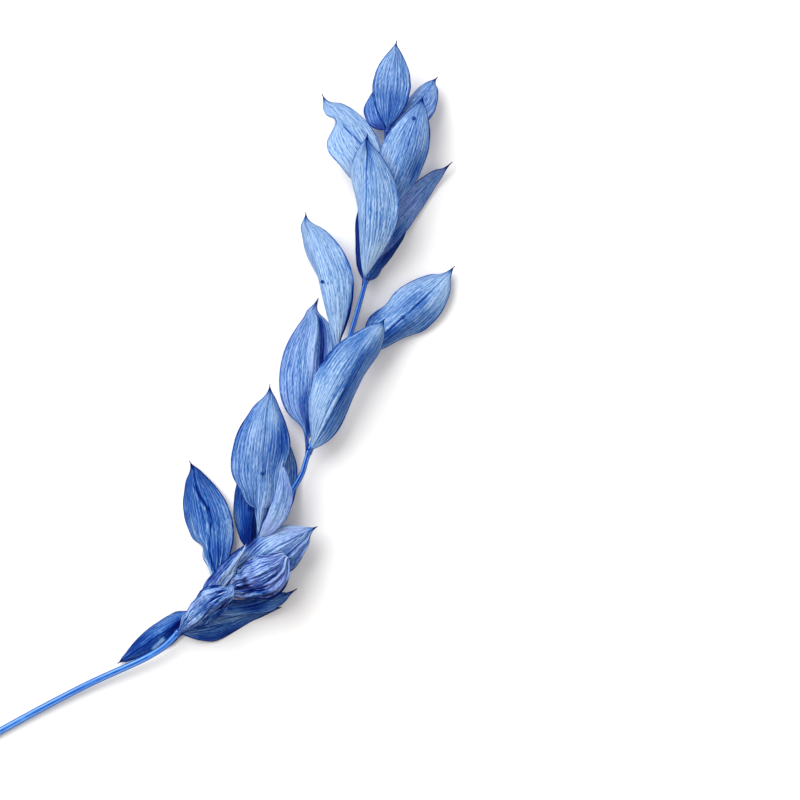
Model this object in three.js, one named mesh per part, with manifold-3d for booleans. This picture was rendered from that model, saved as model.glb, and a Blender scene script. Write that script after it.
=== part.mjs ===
// A cut stem of preserved, blue-dyed butcher's broom foliage, laid on a flat surface.
// The stem and the blades that grow from it are one solid, because they grew as one piece.
//
// Lengths are millimetres and angles are degrees. +Z points up from the surface. The origin is
// on the flat spot under the cut end of the stem, and the stem runs away from it in +X and +Y.

import * as THREE from 'three';
import { mergeVertices } from 'three/addons/utils/BufferGeometryUtils.js';
import Module from 'manifold-3d';

// Centre line of the stem, from the pruned end to the tip. Blades grow where it bends.
const STEM_POINTS = [
  [-5, -3, 1.45],
  [49, 28.5, 2.1],
  [91, 51, 4],
  [125, 67, 7],
  [139, 78.5, 9],
  [157.5, 100, 11],
  [175, 119, 12.5],
  [198.5, 153.5, 13],
  [204.5, 169, 13.5],
  [220.5, 212.5, 14.5],
  [233, 254.5, 16],
  [238.5, 280, 17],
  [243.5, 329.5, 18],
];
const FIRST_WHORL = 4; // the stem is bare before this point
const STEM_RADIUS_CUT = 1.75;
const STEM_RADIUS_TIP = 0.95;
const RIDGES = 5;
const RIDGE_DEPTH = 0.06; // share of the radius
const STEM_SIDES = 2 * RIDGES;
const RINGS_PER_SPAN = 3;
const WHORL_SWELLING = 0.22; // share of the radius
const WHORL_REACH = 1.6; // how far along the stem the swelling fades
const PRUNING_SLANT = 20;

// Each blade. at: where it leaves the stem, counted in stem points. tip: its point.
// bow: how far the midrib bends to the left of a straight line, at one and two thirds.
// rise: height of the midrib's handles there. half: half of the blade's width.
// left, right: how far each half slopes down from level at the base, the middle and the tip.
// curl: extra turn of the left and the right half from midrib to edge. wave: height of the
// edge's ripple. neck: share of the length that is a narrow stalk. full: how blunt the blade is
// at its base and at its tip, lower is blunter. swells: where an edge stands out or draws in,
// as [side, share of the length, height, reach], with 1 for the left side and -1 for the right.
const BLADES = [
  { name: 'first_crumpled', at: 4, tip: [170.5, 103, 30], bow: [2, 1], rise: [24, 33],
    half: 10.5, left: [40, 45, 40], right: [40, 50, 40], curl: [10, 10], wave: 1,
    neck: 0.02, full: [0.85, 0.8] },
  { name: 'first_narrow', at: 4.35, tip: [174.5, 124.5, 22], bow: [0.5, 0], rise: [22, 25],
    half: 5.8, left: [40, 50, 40], right: [40, 50, 40], curl: [15, 15], wave: 0.6,
    neck: 0.02, full: [0.8, 0.86] },
  { name: 'first_right', at: 4, tip: [190.5, 90.5, -2.5], bow: [1.5, 1.5], rise: [5, 2],
    half: 9.2, left: [10, 15, 20], right: [15, 30, 30], curl: [10, 10], wave: 0.5,
    neck: 0.02, full: [0.8, 0.86],
    swells: [[-1, 0.7, -2.5, 0.2], [-1, 0.27, 2, 0.15]] },
  { name: 'first_bent_back', at: 4.5, tip: [108, 62.5, 2.5], bow: [-0.5, -0.5], rise: [5, 3.5],
    half: 9.5, left: [40, 40, 40], right: [45, 60, 50], curl: [10, 10], wave: 0.5,
    neck: 0.04, full: [0.8, 0.86] },
  { name: 'second_left', at: 5, tip: [144, 164.5, 3], bow: [-1.5, -3], rise: [9, 7],
    half: 14.2, left: [105, 52, 25], right: [10, 10, 25], curl: [25, 15], wave: 1,
    neck: 0.05, full: [0.8, 0.86],
    swells: [[1, 0.33, -4, 0.06]] },
  { name: 'second_long', at: 5, tip: [209, 132, 18], bow: [-0.5, 0.5], rise: [17, 22],
    half: 14.5, left: [10, 25, 25], right: [50, 28, 25], curl: [15, 10], wave: 0.8,
    neck: 0.04, full: [0.8, 0.86],
    swells: [[1, 0.33, -4.5, 0.16]] },
  { name: 'second_crumpled', at: 5, tip: [196, 116.5, 25], bow: [-3.5, -4.5], rise: [24, 34],
    half: 12.5, left: [15, 25, 15], right: [30, 30, 0], curl: [30, 30], wave: 1.6,
    neck: 0.04, full: [1, 0.7] },
  { name: 'second_right', at: 4.6, tip: [198.5, 100.5, 8], bow: [-5, -5], rise: [14, 13],
    half: 9.5, left: [60, 68, 60], right: [50, 55, 10], curl: [10, 10], wave: 0.6,
    neck: 0.03, full: [0.8, 0.86],
    swells: [[1, 0.6, -2, 0.25], [-1, 0.45, -4, 0.25]] },
  { name: 'third_broad', at: 6.2, tip: [185, 203, 15], bow: [0.7, 0.2], rise: [21, 23],
    half: 15.8, left: [70, 0, 25], right: [60, 25, 30], curl: [25, 25], wave: 1,
    neck: 0.2, full: [0.6, 0.85],
    swells: [[1, 0.12, 1.6, 0.1], [-1, 0.12, 1.6, 0.1], [-1, 0.45, -4, 0.14]] },
  { name: 'third_pale', at: 6.2, tip: [192.5, 164, 29], bow: [-2, -1], rise: [27, 32],
    half: 10.2, left: [90, 135, 80], right: [10, 8, 20], curl: [10, 15], wave: 0.6,
    neck: 0.03, full: [0.8, 0.86] },
  { name: 'third_right_under', at: 6.2, tip: [193.5, 176.5, 5], bow: [-1.5, -1.5], rise: [10, 8],
    half: 11.5, left: [60, 68, 50], right: [20, 18, 15], curl: [10, 10], wave: 0.6,
    neck: 0.03, full: [0.8, 0.86] },
  { name: 'third_left_under', at: 6, tip: [175, 171.5, 2], bow: [0.8, 0.3], rise: [5, 3],
    half: 12, left: [45, 55, 50], right: [65, 70, 60], curl: [10, 10], wave: 0.6,
    neck: 0.03, full: [0.8, 0.86] },
  { name: 'fourth_top', at: 8, tip: [242.5, 235, 29], bow: [1, 1], rise: [26, 31],
    half: 16.4, left: [55, 12, 20], right: [0, 75, 30], curl: [20, 10], wave: 0.8,
    neck: 0.03, full: [0.85, 0.72],
    swells: [[-1, 0.36, -2, 0.12]] },
  { name: 'fourth_left', at: 8, tip: [209, 246.5, -2.5], bow: [4.5, 2.5], rise: [9, 6],
    half: 14.5, left: [35, 12, 30], right: [15, 18, 25], curl: [15, 15], wave: 0.8,
    neck: 0.08, full: [0.8, 0.86],
    swells: [[1, 0.16, -4, 0.07], [-1, 0.78, 2, 0.12]] },
  { name: 'fifth_left', at: 9, tip: [203, 289, 15], bow: [-1.6, 0.6], rise: [20, 21],
    half: 16.5, left: [95, 100, 30], right: [30, 10, 20], curl: [10, 15], wave: 0.8,
    neck: 0.08, full: [1.2, 1] },
  { name: 'fifth_right', at: 9, tip: [277.5, 262.5, 5], bow: [-3.2, -3.6], rise: [15, 10],
    half: 14.5, left: [75, 33, 30], right: [75, 46, 0], curl: [15, 20], wave: 0.9,
    neck: 0.1, full: [0.9, 0.8],
    swells: [[1, 0.33, 2.2, 0.08], [1, 0.5, -1.8, 0.08], [-1, 0.43, -3, 0.12]] },
  { name: 'sixth_top', at: 10, tip: [234, 326.5, 34], bow: [0, 0], rise: [29, 35],
    half: 16.4, left: [50, 79, 0], right: [25, 8, 15], curl: [20, 15], wave: 0.8,
    neck: 0.03, full: [1, 0.95] },
  { name: 'sixth_left_under', at: 9.95, tip: [236, 306, 4], bow: [1.5, 3], rise: [10, 6],
    half: 8, left: [50, 58, 45], right: [20, 20, 20], curl: [10, 10], wave: 0.5,
    neck: 0.04, full: [0.8, 0.86] },
  { name: 'sixth_right_under', at: 10, tip: [255, 285, 0], bow: [0, 0], rise: [8, 2],
    half: 9.5, left: [-20, -40, -30], right: [75, 75, 60], curl: [10, 10], wave: 0.5,
    neck: 0.02, full: [0.8, 0.86] },
  { name: 'sixth_right', at: 10.3, tip: [276.5, 314.5, 6], bow: [4, 4.5], rise: [11, 8],
    half: 8.6, left: [-35, -40, -30], right: [35, 50, 50], curl: [0, 10], wave: 0.5,
    neck: 0.03, full: [0.8, 0.86] },
  { name: 'seventh_left', at: 11.25, tip: [211, 348, 13], bow: [-3.5, -4.5], rise: [22, 21],
    half: 13.5, left: [100, 10, 60], right: [15, 25, 20], curl: [15, 10], wave: 0.8,
    neck: 0.1, full: [0.8, 0.86],
    swells: [[1, 0.76, -7, 0.07], [1, 0.4, -2, 0.12]] },
  { name: 'seventh_right', at: 11, tip: [261.5, 345.5, 26], bow: [-1.5, -1.5], rise: [25, 30],
    half: 13, left: [25, 15, 20], right: [70, 42, 10], curl: [15, 15], wave: 0.6,
    neck: 0.12, full: [0.8, 0.86] },
  { name: 'tip_middle', at: 12, tip: [248.5, 373.5, 24], bow: [0.2, 0.2], rise: [20, 23],
    half: 9.6, left: [10, 5, 25], right: [10, 12, 25], curl: [10, 10], wave: 0.4,
    neck: 0.02, full: [0.95, 1] },
  { name: 'tip_right', at: 12, tip: [269, 357, 9], bow: [-2, -2.5], rise: [17, 13],
    half: 10, left: [5, 48, 15], right: [10, 15, 20], curl: [10, 10], wave: 0.4,
    neck: 0.02, full: [0.8, 0.86],
    swells: [[1, 0.6, -1.5, 0.2]] },
  { name: 'tip_left', at: 12, tip: [239, 353, 5], bow: [0.5, 0.5], rise: [11, 6],
    half: 9.6, left: [35, 20, 20], right: [40, 20, 10], curl: [10, 10], wave: 0.4,
    neck: 0.02, full: [0.8, 0.86],
    swells: [[-1, 0.5, -4, 0.3]] },
];
const BLADE_THICKNESS = 0.8;
const ROOT_OFFSET = 0.5; // share of the stem's radius, from its centre line
const STALK_HALF = 0.9;
const TIP_HALF = 0.2;
const TIP_TAPER = 0.07; // share of the length that is drawn out to a spine
const SWELL_FADE = 12; // swells fade out over the first and last twelfth of the blade
const CREASE = 0.35; // share of the fold that lies in the midrib itself
const FOLD_REACH = 0.4; // the rest is spread over this share of the half
const CELLS = 24; // steps that a half's slope is summed in
const CELLS_PER_COLUMN = 8;
const ROWS = 13;
const ROW_CROWDING = 0.05;
const RIPPLES_LEAST = 1.5; // ripples along an edge, and up to one more

// Blades that come down to the surface bend along it instead of passing through. Where one bears
// on it, its underside is pressed a little into it and trimmed, so that it rests flat.
const PRESSED_DEPTH = 0.18;
const LOWEST_MIDDLE = BLADE_THICKNESS / 2 - PRESSED_DEPTH;
const CONTACT_SOFTNESS = 1.4;

// A block below the surface, wider than the whole stem, that trims what reaches under it.
const SURFACE_SIDE = 700;
const SURFACE_DEPTH = 10;

const UP = new THREE.Vector3(0, 0, 1);
const stem = new THREE.CatmullRomCurve3(
  STEM_POINTS.map((point) => new THREE.Vector3(...point)),
  false,
  'catmullrom',
);
const SPANS = STEM_POINTS.length - 1;

const wasm = await Module();
wasm.setup();

// A repeatable run of numbers from 0 to 1.
function randomRun(seed) {
  let state = seed * 7919 + 1;
  return () => {
    state = (state * 16807) % 2147483647;
    return state / 2147483647;
  };
}

// A smooth value through three given ones, at the start, the middle and the end.
function through([start, middle, end], t) {
  return start * (1 - t) * (1 - 2 * t) + 4 * middle * t * (1 - t) + end * t * (2 * t - 1);
}

// Level, sideways and upward directions across a path that runs along a direction.
function crossFrame(along) {
  const side = new THREE.Vector3().crossVectors(UP, along).normalize();
  return { side, up: new THREE.Vector3().crossVectors(along, side) };
}

// Triangles over a grid of points, with the diagonals alike wherever the grid is used again.
function gridFaces(rows, columns, start, turned) {
  const faces = [];
  for (let row = 0; row < rows - 1; row += 1) {
    for (let column = 0; column < columns - 1; column += 1) {
      const near = start + row * columns + column;
      const far = near + columns;
      const pair = [near, near + 1, far + 1, near, far + 1, far];
      faces.push(...(turned ? pair.reverse() : pair));
    }
  }
  return faces;
}

function bodyFrom(points, faces) {
  const geometry = new THREE.BufferGeometry();
  geometry.setAttribute('position', new THREE.Float32BufferAttribute(points, 3));
  geometry.setIndex(faces);
  return geometry;
}

// The stem: rings with a ridge at every second corner, swollen at the whorls.
function stemRadius(place, distanceToWhorl) {
  const taper = THREE.MathUtils.lerp(STEM_RADIUS_CUT, STEM_RADIUS_TIP, place / SPANS);
  return taper * (1 + WHORL_SWELLING * Math.exp(-((distanceToWhorl / WHORL_REACH) ** 2)));
}

function distanceToNearestWhorl(place) {
  const whorl = Math.max(Math.round(place), FIRST_WHORL);
  return stem.getPoint(place / SPANS).distanceTo(stem.getPoint(whorl / SPANS));
}

function stemGeometry() {
  const rings = SPANS * RINGS_PER_SPAN + 1;
  const points = [];
  for (let ring = 0; ring < rings; ring += 1) {
    const place = ring / RINGS_PER_SPAN;
    const centre = stem.getPoint(place / SPANS);
    const along = stem.getTangent(place / SPANS);
    const { side, up } = crossFrame(along);
    const radius = stemRadius(place, distanceToNearestWhorl(place));
    const slant = ring === 0 ? Math.tan(THREE.MathUtils.degToRad(PRUNING_SLANT)) : 0;
    for (let corner = 0; corner < STEM_SIDES; corner += 1) {
      const angle = (2 * Math.PI * (corner + 0.5)) / STEM_SIDES;
      const reach = radius * (1 + RIDGE_DEPTH * (corner % 2 ? 1 : -1));
      const height = reach * Math.sin(angle);
      points.push(
        ...centre.clone()
          .addScaledVector(side, reach * Math.cos(angle))
          .addScaledVector(up, height)
          .addScaledVector(along, height * slant),
      );
    }
  }
  const faces = [];
  for (let ring = 0; ring < rings - 1; ring += 1) {
    for (let corner = 0; corner < STEM_SIDES; corner += 1) {
      const next = (corner + 1) % STEM_SIDES;
      const [a, b] = [ring * STEM_SIDES + corner, ring * STEM_SIDES + next];
      faces.push(a, b, b + STEM_SIDES, a, b + STEM_SIDES, a + STEM_SIDES);
    }
  }
  const last = (rings - 1) * STEM_SIDES;
  for (let corner = 1; corner < STEM_SIDES - 1; corner += 1) {
    faces.push(0, corner + 1, corner);
    faces.push(last, last + corner, last + corner + 1);
  }
  return bodyFrom(points, faces);
}

// A blade's midrib, from inside the side of the stem that it turns to, to its point.
function midrib({ at, tip, bow, rise }) {
  const core = stem.getPoint(at / SPANS);
  const end = new THREE.Vector3(...tip);
  const along = stem.getTangent(at / SPANS);
  const away = end.clone().sub(core).setZ(rise[0] - core.z);
  away.addScaledVector(along, -away.dot(along)).normalize();
  const root = core.clone().addScaledVector(away, ROOT_OFFSET * stemRadius(at, 0));
  const chord = end.clone().sub(root);
  const left = new THREE.Vector3(-chord.y, chord.x, 0).divideScalar(Math.hypot(chord.x, chord.y));
  const handles = [1 / 3, 2 / 3].map((share, i) => {
    const handle = root.clone().addScaledVector(chord, share).addScaledVector(left, bow[i]);
    return handle.setZ(rise[i]);
  });
  return new THREE.CubicBezierCurve3(root, ...handles, end);
}

// Half of the blade's width on one side: the outline and its swells, or the stalk or the spine.
function halfWidth({ half, neck, full, swells = [] }, sign, t) {
  const s = Math.max((t - neck) / (1 - neck), 0);
  const [base, point] = full;
  const widest = base / (base + point);
  const beyond = 1 - widest;
  const outline = (s / widest) ** base * ((1 - s) / beyond) ** point;
  const spine = ((1 - s) / (1 - s + TIP_TAPER)) * ((beyond + TIP_TAPER) / beyond);
  const free = Math.min(SWELL_FADE * t * (1 - t), 1);
  const swell = swells
    .filter(([side]) => side === sign)
    .reduce((sum, [, place, height, reach]) => sum + height * Math.exp(-(((t - place) / reach) ** 2)), 0);
  const stalk = THREE.MathUtils.lerp(STALK_HALF, TIP_HALF, Math.max(2 * t - 1, 0));
  return Math.hypot(Math.max(half * outline * spine + swell * free, 0), stalk);
}

// A height that never comes under the lowest one, and is left alone well above it.
function settled(height) {
  const over = height - LOWEST_MIDDLE;
  return LOWEST_MIDDLE + (over + Math.hypot(over, CONTACT_SOFTNESS)) / 2;
}

// The places of the rows, closer together near the base and the point.
function rowPlace(row) {
  const even = row / (ROWS - 1);
  return even - ROW_CROWDING * Math.sin(2 * Math.PI * even);
}

// One row across the blade: slopes summed outward from the midrib, with the edge rippled.
function bladeRow(blade, curve, t, ripples) {
  const { side, up } = crossFrame(curve.getTangent(t));
  const centre = curve.getPoint(t);
  const [leftSlope, rightSlope] = [blade.left, blade.right].map((slopes) =>
    THREE.MathUtils.degToRad(through(slopes, t)),
  );
  const roll = (leftSlope - rightSlope) / 2;
  const fold = (leftSlope + rightSlope) / 2;
  const row = [centre.clone()];
  [1, -1].forEach((sign, i) => {
    const turn = THREE.MathUtils.degToRad(blade.curl[i]);
    const width = halfWidth(blade, sign, t);
    const [phase, beats] = ripples[i];
    let out = 0;
    let down = 0;
    for (let cell = 1; cell <= CELLS; cell += 1) {
      const u = (cell - 0.5) / CELLS;
      const spread = CREASE + (1 - CREASE) * Math.min(u / FOLD_REACH, 1);
      const angle = sign * roll + fold * spread + turn * (u - 0.5);
      out += (width / CELLS) * Math.cos(angle);
      down += (width / CELLS) * Math.sin(angle);
      if (cell % CELLS_PER_COLUMN === 0) {
        const swing = Math.sin(2 * Math.PI * (beats * t + phase));
        const ripple = blade.wave * (cell / CELLS) ** 2 * swing * 4 * t * (1 - t);
        const point = centre.clone().addScaledVector(side, sign * out);
        point.addScaledVector(up, ripple - down);
        if (sign > 0) row.unshift(point);
        else row.push(point);
      }
    }
  });
  row.forEach((point) => point.setZ(settled(point.z)));
  return row;
}

// Two faces half a thickness either side of the middle sheet, closed round the rim.
function bladeGeometry(blade, index) {
  const random = randomRun(index + 1);
  const ripples = [0, 1].map(() => [random(), RIPPLES_LEAST + random()]);
  const curve = midrib(blade);
  const rows = Array.from({ length: ROWS }, (_, i) => bladeRow(blade, curve, rowPlace(i), ripples));
  const columns = rows[0].length;
  const middle = rows.flat();
  const sheet = bodyFrom(middle.flatMap((point) => [...point]), gridFaces(ROWS, columns, 0, true));
  sheet.computeVertexNormals();
  const normal = new THREE.Vector3();
  const faceAt = (offset) =>
    middle.flatMap((point, i) => {
      normal.fromBufferAttribute(sheet.attributes.normal, i);
      return [...point.clone().addScaledVector(normal, offset)];
    });
  const points = [...faceAt(BLADE_THICKNESS / 2), ...faceAt(-BLADE_THICKNESS / 2)];
  const count = middle.length;
  const faces = [...gridFaces(ROWS, columns, 0, true), ...gridFaces(ROWS, columns, count, false)];
  const rim = [];
  for (let column = 0; column < columns - 1; column += 1) rim.push(column);
  for (let row = 0; row < ROWS - 1; row += 1) rim.push(row * columns + columns - 1);
  for (let column = columns - 1; column > 0; column -= 1) rim.push((ROWS - 1) * columns + column);
  for (let row = ROWS - 1; row > 0; row -= 1) rim.push(row * columns);
  rim.forEach((here, i) => {
    const next = rim[(i + 1) % rim.length];
    faces.push(here, next, next + count, here, next + count, here + count);
  });
  return bodyFrom(points, faces);
}

// Joining and trimming
function solidFrom(geometry) {
  geometry.deleteAttribute('normal');
  geometry.deleteAttribute('uv');
  const merged = mergeVertices(geometry);
  return new wasm.Manifold(new wasm.Mesh({
    numProp: 3,
    vertProperties: merged.attributes.position.array,
    triVerts: new Uint32Array(merged.index.array),
  }));
}

function geometryFrom(solid) {
  const mesh = solid.getMesh();
  return bodyFrom([...mesh.vertProperties], [...mesh.triVerts]);
}

// The cut end and the blades that bear on the surface are trimmed level with it.
function surfaceBlock() {
  const block = new THREE.BoxGeometry(SURFACE_SIDE, SURFACE_SIDE, SURFACE_DEPTH);
  const middle = STEM_POINTS[SPANS / 2];
  return block.translate(middle[0], middle[1], -SURFACE_DEPTH / 2);
}

function leafyStem() {
  let solid = solidFrom(stemGeometry());
  BLADES.forEach((blade, i) => {
    solid = solid.add(solidFrom(bladeGeometry(blade, i)));
  });
  return geometryFrom(solid.subtract(solidFrom(surfaceBlock())));
}

const dyedBlue = new THREE.MeshStandardMaterial({ color: 0x4c7ccb, roughness: 0.6, metalness: 0 });
const leafyStemMesh = new THREE.Mesh(leafyStem(), dyedBlue);
leafyStemMesh.name = 'leafy_stem';

const preservedStem = new THREE.Group();
preservedStem.add(leafyStemMesh);

export default preservedStem;
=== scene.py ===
# %% [markdown]
# # A stem of preserved foliage, dyed blue
# This is a cut stem of butcher's broom, kept supple with glycerine and dyed blue. The packed
# model gives its size and its place as one plain solid. Here that solid is replaced by finer
# pieces that keep its form: the ridged stem, each blade with its veins and creases, the dried
# flower knobs and the scales at the whorls. The frame is loaded first, and its box is kept, so
# that the finished pieces can be measured against it.

# %% The frame
import math

import bpy
import numpy as np
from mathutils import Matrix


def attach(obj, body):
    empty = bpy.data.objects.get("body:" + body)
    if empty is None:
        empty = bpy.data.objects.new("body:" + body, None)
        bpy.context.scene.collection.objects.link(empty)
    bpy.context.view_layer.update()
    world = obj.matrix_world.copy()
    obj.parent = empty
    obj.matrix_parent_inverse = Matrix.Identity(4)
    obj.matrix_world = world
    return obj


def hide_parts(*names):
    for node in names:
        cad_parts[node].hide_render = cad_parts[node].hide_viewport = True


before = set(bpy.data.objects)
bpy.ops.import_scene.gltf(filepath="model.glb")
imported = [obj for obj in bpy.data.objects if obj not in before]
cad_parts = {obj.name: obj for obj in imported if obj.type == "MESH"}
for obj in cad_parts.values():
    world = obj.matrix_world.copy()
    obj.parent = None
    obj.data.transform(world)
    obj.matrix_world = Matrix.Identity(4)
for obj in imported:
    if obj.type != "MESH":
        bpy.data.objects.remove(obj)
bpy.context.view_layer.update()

NODE = "leafy_stem"
MM = 0.001

# %% [markdown]
# ## Camera
# The stem was photographed from straight above. A long lens from far up keeps the far ends of
# the blades at the same scale as the near ones, as in a catalogue picture. The distance follows
# from the lens, so that the picture is 400 mm wide at the height of most blades.

# %% Camera
PICTURE_WIDTH = 400 * MM
PICTURE_CENTRE = (250 * MM, 195 * MM)
FOCUS_HEIGHT = 12 * MM
LENS = 144
SENSOR = 36

camera_data = bpy.data.cameras.new("camera")
camera_data.lens = LENS
camera_data.sensor_width = SENSOR
camera = bpy.data.objects.new("camera", camera_data)
camera.location = (*PICTURE_CENTRE, FOCUS_HEIGHT + PICTURE_WIDTH * LENS / SENSOR)
bpy.context.scene.collection.objects.link(camera)
bpy.context.scene.camera = camera
print("camera height", round(camera.location.z, 3), "m")

# %% [markdown]
# ## Shader helpers
# A finish is a tree of nodes. One method adds any node, with its settings and its inputs, and a
# small class lets plain arithmetic add the Math nodes, so that a formula reads as a formula.

# %% Shader helpers
class Signal:
    """One value in a finish's tree. Arithmetic on it adds Math nodes."""

    def __init__(self, finish, socket):
        self.finish = finish
        self.socket = socket

    def math(self, operation, first, second, clamp=False):
        settings = {"operation": operation, "use_clamp": clamp}
        return self.finish.add("Math", settings, {0: first, 1: second})

    def __add__(self, other):
        return self.math("ADD", self, other)

    __radd__ = __add__

    def __sub__(self, other):
        return self.math("SUBTRACT", self, other)

    def __rsub__(self, other):
        return self.math("SUBTRACT", other, self)

    def __mul__(self, other):
        return self.math("MULTIPLY", self, other)

    __rmul__ = __mul__

    def clamped(self):
        return self.math("ADD", self, 0.0, clamp=True)


class Finish:
    """A material, and the ways its nodes are added."""

    def __init__(self, name):
        self.material = bpy.data.materials.new(name)
        self.material.use_nodes = True
        self.tree = self.material.node_tree
        self.tree.nodes.clear()

    def add(self, kind, settings, inputs, output=0):
        node = self.tree.nodes.new("ShaderNode" + kind)
        for key, value in settings.items():
            if key == "stops":
                self.set_stops(node.color_ramp, value)
            else:
                setattr(node, key, value)
        for key, value in inputs.items():
            if isinstance(value, Signal):
                self.tree.links.new(value.socket, node.inputs[key])
            else:
                node.inputs[key].default_value = value
        return Signal(self, node.outputs[output])

    def set_stops(self, ramp, stops):
        while len(ramp.elements) < len(stops):
            ramp.elements.new(1.0)
        for element, (place, colour) in zip(ramp.elements, stops):
            element.position = place
            element.color = (*colour, 1.0)

    def attribute(self, name):
        return self.add("Attribute", {"attribute_name": name}, {}, output="Fac")

    def noise(self, x, y, z, detail=2.0):
        """Noise from 0 to 1 at the place that three values give."""
        place = self.add("CombineXYZ", {}, {0: x, 1: y, 2: z})
        return self.add("TexNoise", {}, {"Vector": place, "Scale": 1.0, "Detail": detail})

    def step(self, value, low, high):
        """A smooth step from 0, where the value is low, to 1, where it is high."""
        settings = {"interpolation_type": "SMOOTHSTEP"}
        return self.add("MapRange", settings, {"Value": value, "From Min": low, "From Max": high})

    def blend(self, share, first, second, way="MIX"):
        settings = {"data_type": "RGBA", "blend_type": way}
        return self.add("Mix", settings, {0: share, 6: first, 7: second}, output=2)

    def bump(self, height, strength, depth):
        inputs = {"Height": height, "Strength": strength, "Distance": depth}
        return self.add("Bump", {}, inputs)

    def close(self, surface):
        end = self.tree.nodes.new("ShaderNodeOutputMaterial")
        self.tree.links.new(surface.socket, end.inputs["Surface"])
        return self.material


# %% [markdown]
# ## The dyed blade
# The dye sinks in unevenly. It is deepest along the margin, over the mid vein and at the
# drawn-out point, and it leaves fine pale fibres between the parallel veins. The dark rim at the
# margin is partly that dye and partly painted shade. The tone of each half, its base and its
# point and of the broad patches is partly the dye and partly painted light and shade, and the
# pleats, ribs and creases add painted light on their crests and painted shade in their hollows.
# The fibres follow the blade and draw together at its ends, so the mesh carries a lane, which is
# the distance from the midrib that a point would have at the widest place, and a run, which is
# its distance from the base. The noise is stretched along the run. A lilac tint lies in clouds on
# some blades: a blend of the colour alone turns the hue and keeps the light and dark. The skin is
# satin and has hardly any gloss, and a little light comes through the thin blade as a deeper
# blue.

# %% Blade colours
DEEP_BLUE = (0.001, 0.010, 0.145)
DARK_BLUE = (0.006, 0.063, 0.370)
MID_BLUE = (0.078, 0.212, 0.545)
SOFT_BLUE = (0.225, 0.415, 0.740)
PALE_BLUE = (0.500, 0.700, 0.960)
BLUES = [DEEP_BLUE, DARK_BLUE, MID_BLUE, SOFT_BLUE, PALE_BLUE]
BLUE_STOPS = [(number / (len(BLUES) - 1), blue) for number, blue in enumerate(BLUES)]
LILAC = (0.145, 0.185, 0.500)
LIGHT_THROUGH = (0.010, 0.140, 0.580)
SHARE_THROUGH = 0.28
SATIN_ROUGHNESS = 0.42
BLADE_GLOSS = 0.04
print("blade blues", len(BLUE_STOPS))

# %% Blade lines
VEINS_PER_MM = 0.62
LINE_WANDER = 1.2
NOISE_MEAN = 0.5


def blade_noises(finish):
    """The line that the fibres follow, and four noises that are stretched along the blade."""
    lane = finish.attribute("lane")
    run = finish.attribute("run")
    seed = finish.attribute("seed")
    # The rates are per mm. What is added to the seed sets each noise apart from the others.
    wobble = finish.noise(lane * 0.3, run * 0.06, seed + 13)
    line = lane + wobble * LINE_WANDER
    grain = finish.noise(lane * 4.5, run * 0.45, seed + 21, detail=0.0)
    fleck = finish.noise(line * 3.6, run * 0.12, seed, detail=1.0)
    fibre = finish.noise(line * 1.7, run * 0.05, seed + 5, detail=1.0)
    cloud = finish.noise(lane * 0.16, run * 0.07, seed + 9)
    return line, grain, fleck, fibre, cloud


def blade_veins(finish, line, fleck, fibre):
    """Pale veins side by side and dark furrows between them, which the noises break up."""
    comb = line * VEINS_PER_MM
    wave = comb.math("PINGPONG", comb, 0.5) * 2
    vein = finish.step(wave, 0.65, 0.95) * finish.step(fibre, 0.4, 0.6)
    furrow = (1 - finish.step(wave, 0.05, 0.35)) * finish.step(fleck, 0.35, 0.6)
    return vein, furrow


def blade_zones(finish):
    """The rim, the groove over the mid vein and the flanks beside it, by their distance in mm."""
    middle = finish.attribute("middle")
    rim = 1 - finish.step(finish.attribute("margin"), 0.25, 0.9)
    groove = 1 - finish.step(middle, 0.15, 0.55)
    flank = finish.step(middle, 0.4, 0.7) * (1 - finish.step(middle, 0.9, 1.5))
    return rim, groove, flank


# %% Blade finish
# How pale each point is, from 0 to 1, and what each thing adds to it or takes away. The tone
# is partly dye and partly painted light and shade, and so is the darker rim.
MEAN_PALENESS = 0.6
TONE_SHARE = 0.32
CLOUD_SHARE = 0.22
GRAIN_SHARE = 0.7
FLECK_SHARE = 1.3
FIBRE_SHARE = 0.7
VEIN_LIGHT = 0.18
FLANK_LIGHT = 0.07
FURROW_DARK = 0.26
CRUMPLED_FURROW_DARK = 0.3
RIM_DYE_AND_PAINTED_SHADE = 0.42
GROOVE_DARK = 0.18
# How strong the texture is, and how much more so on pale and on crumpled blades.
TEXTURE = 0.97
PALE_TEXTURE = 0.35
CRUMPLED_TEXTURE = 0.5


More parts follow.
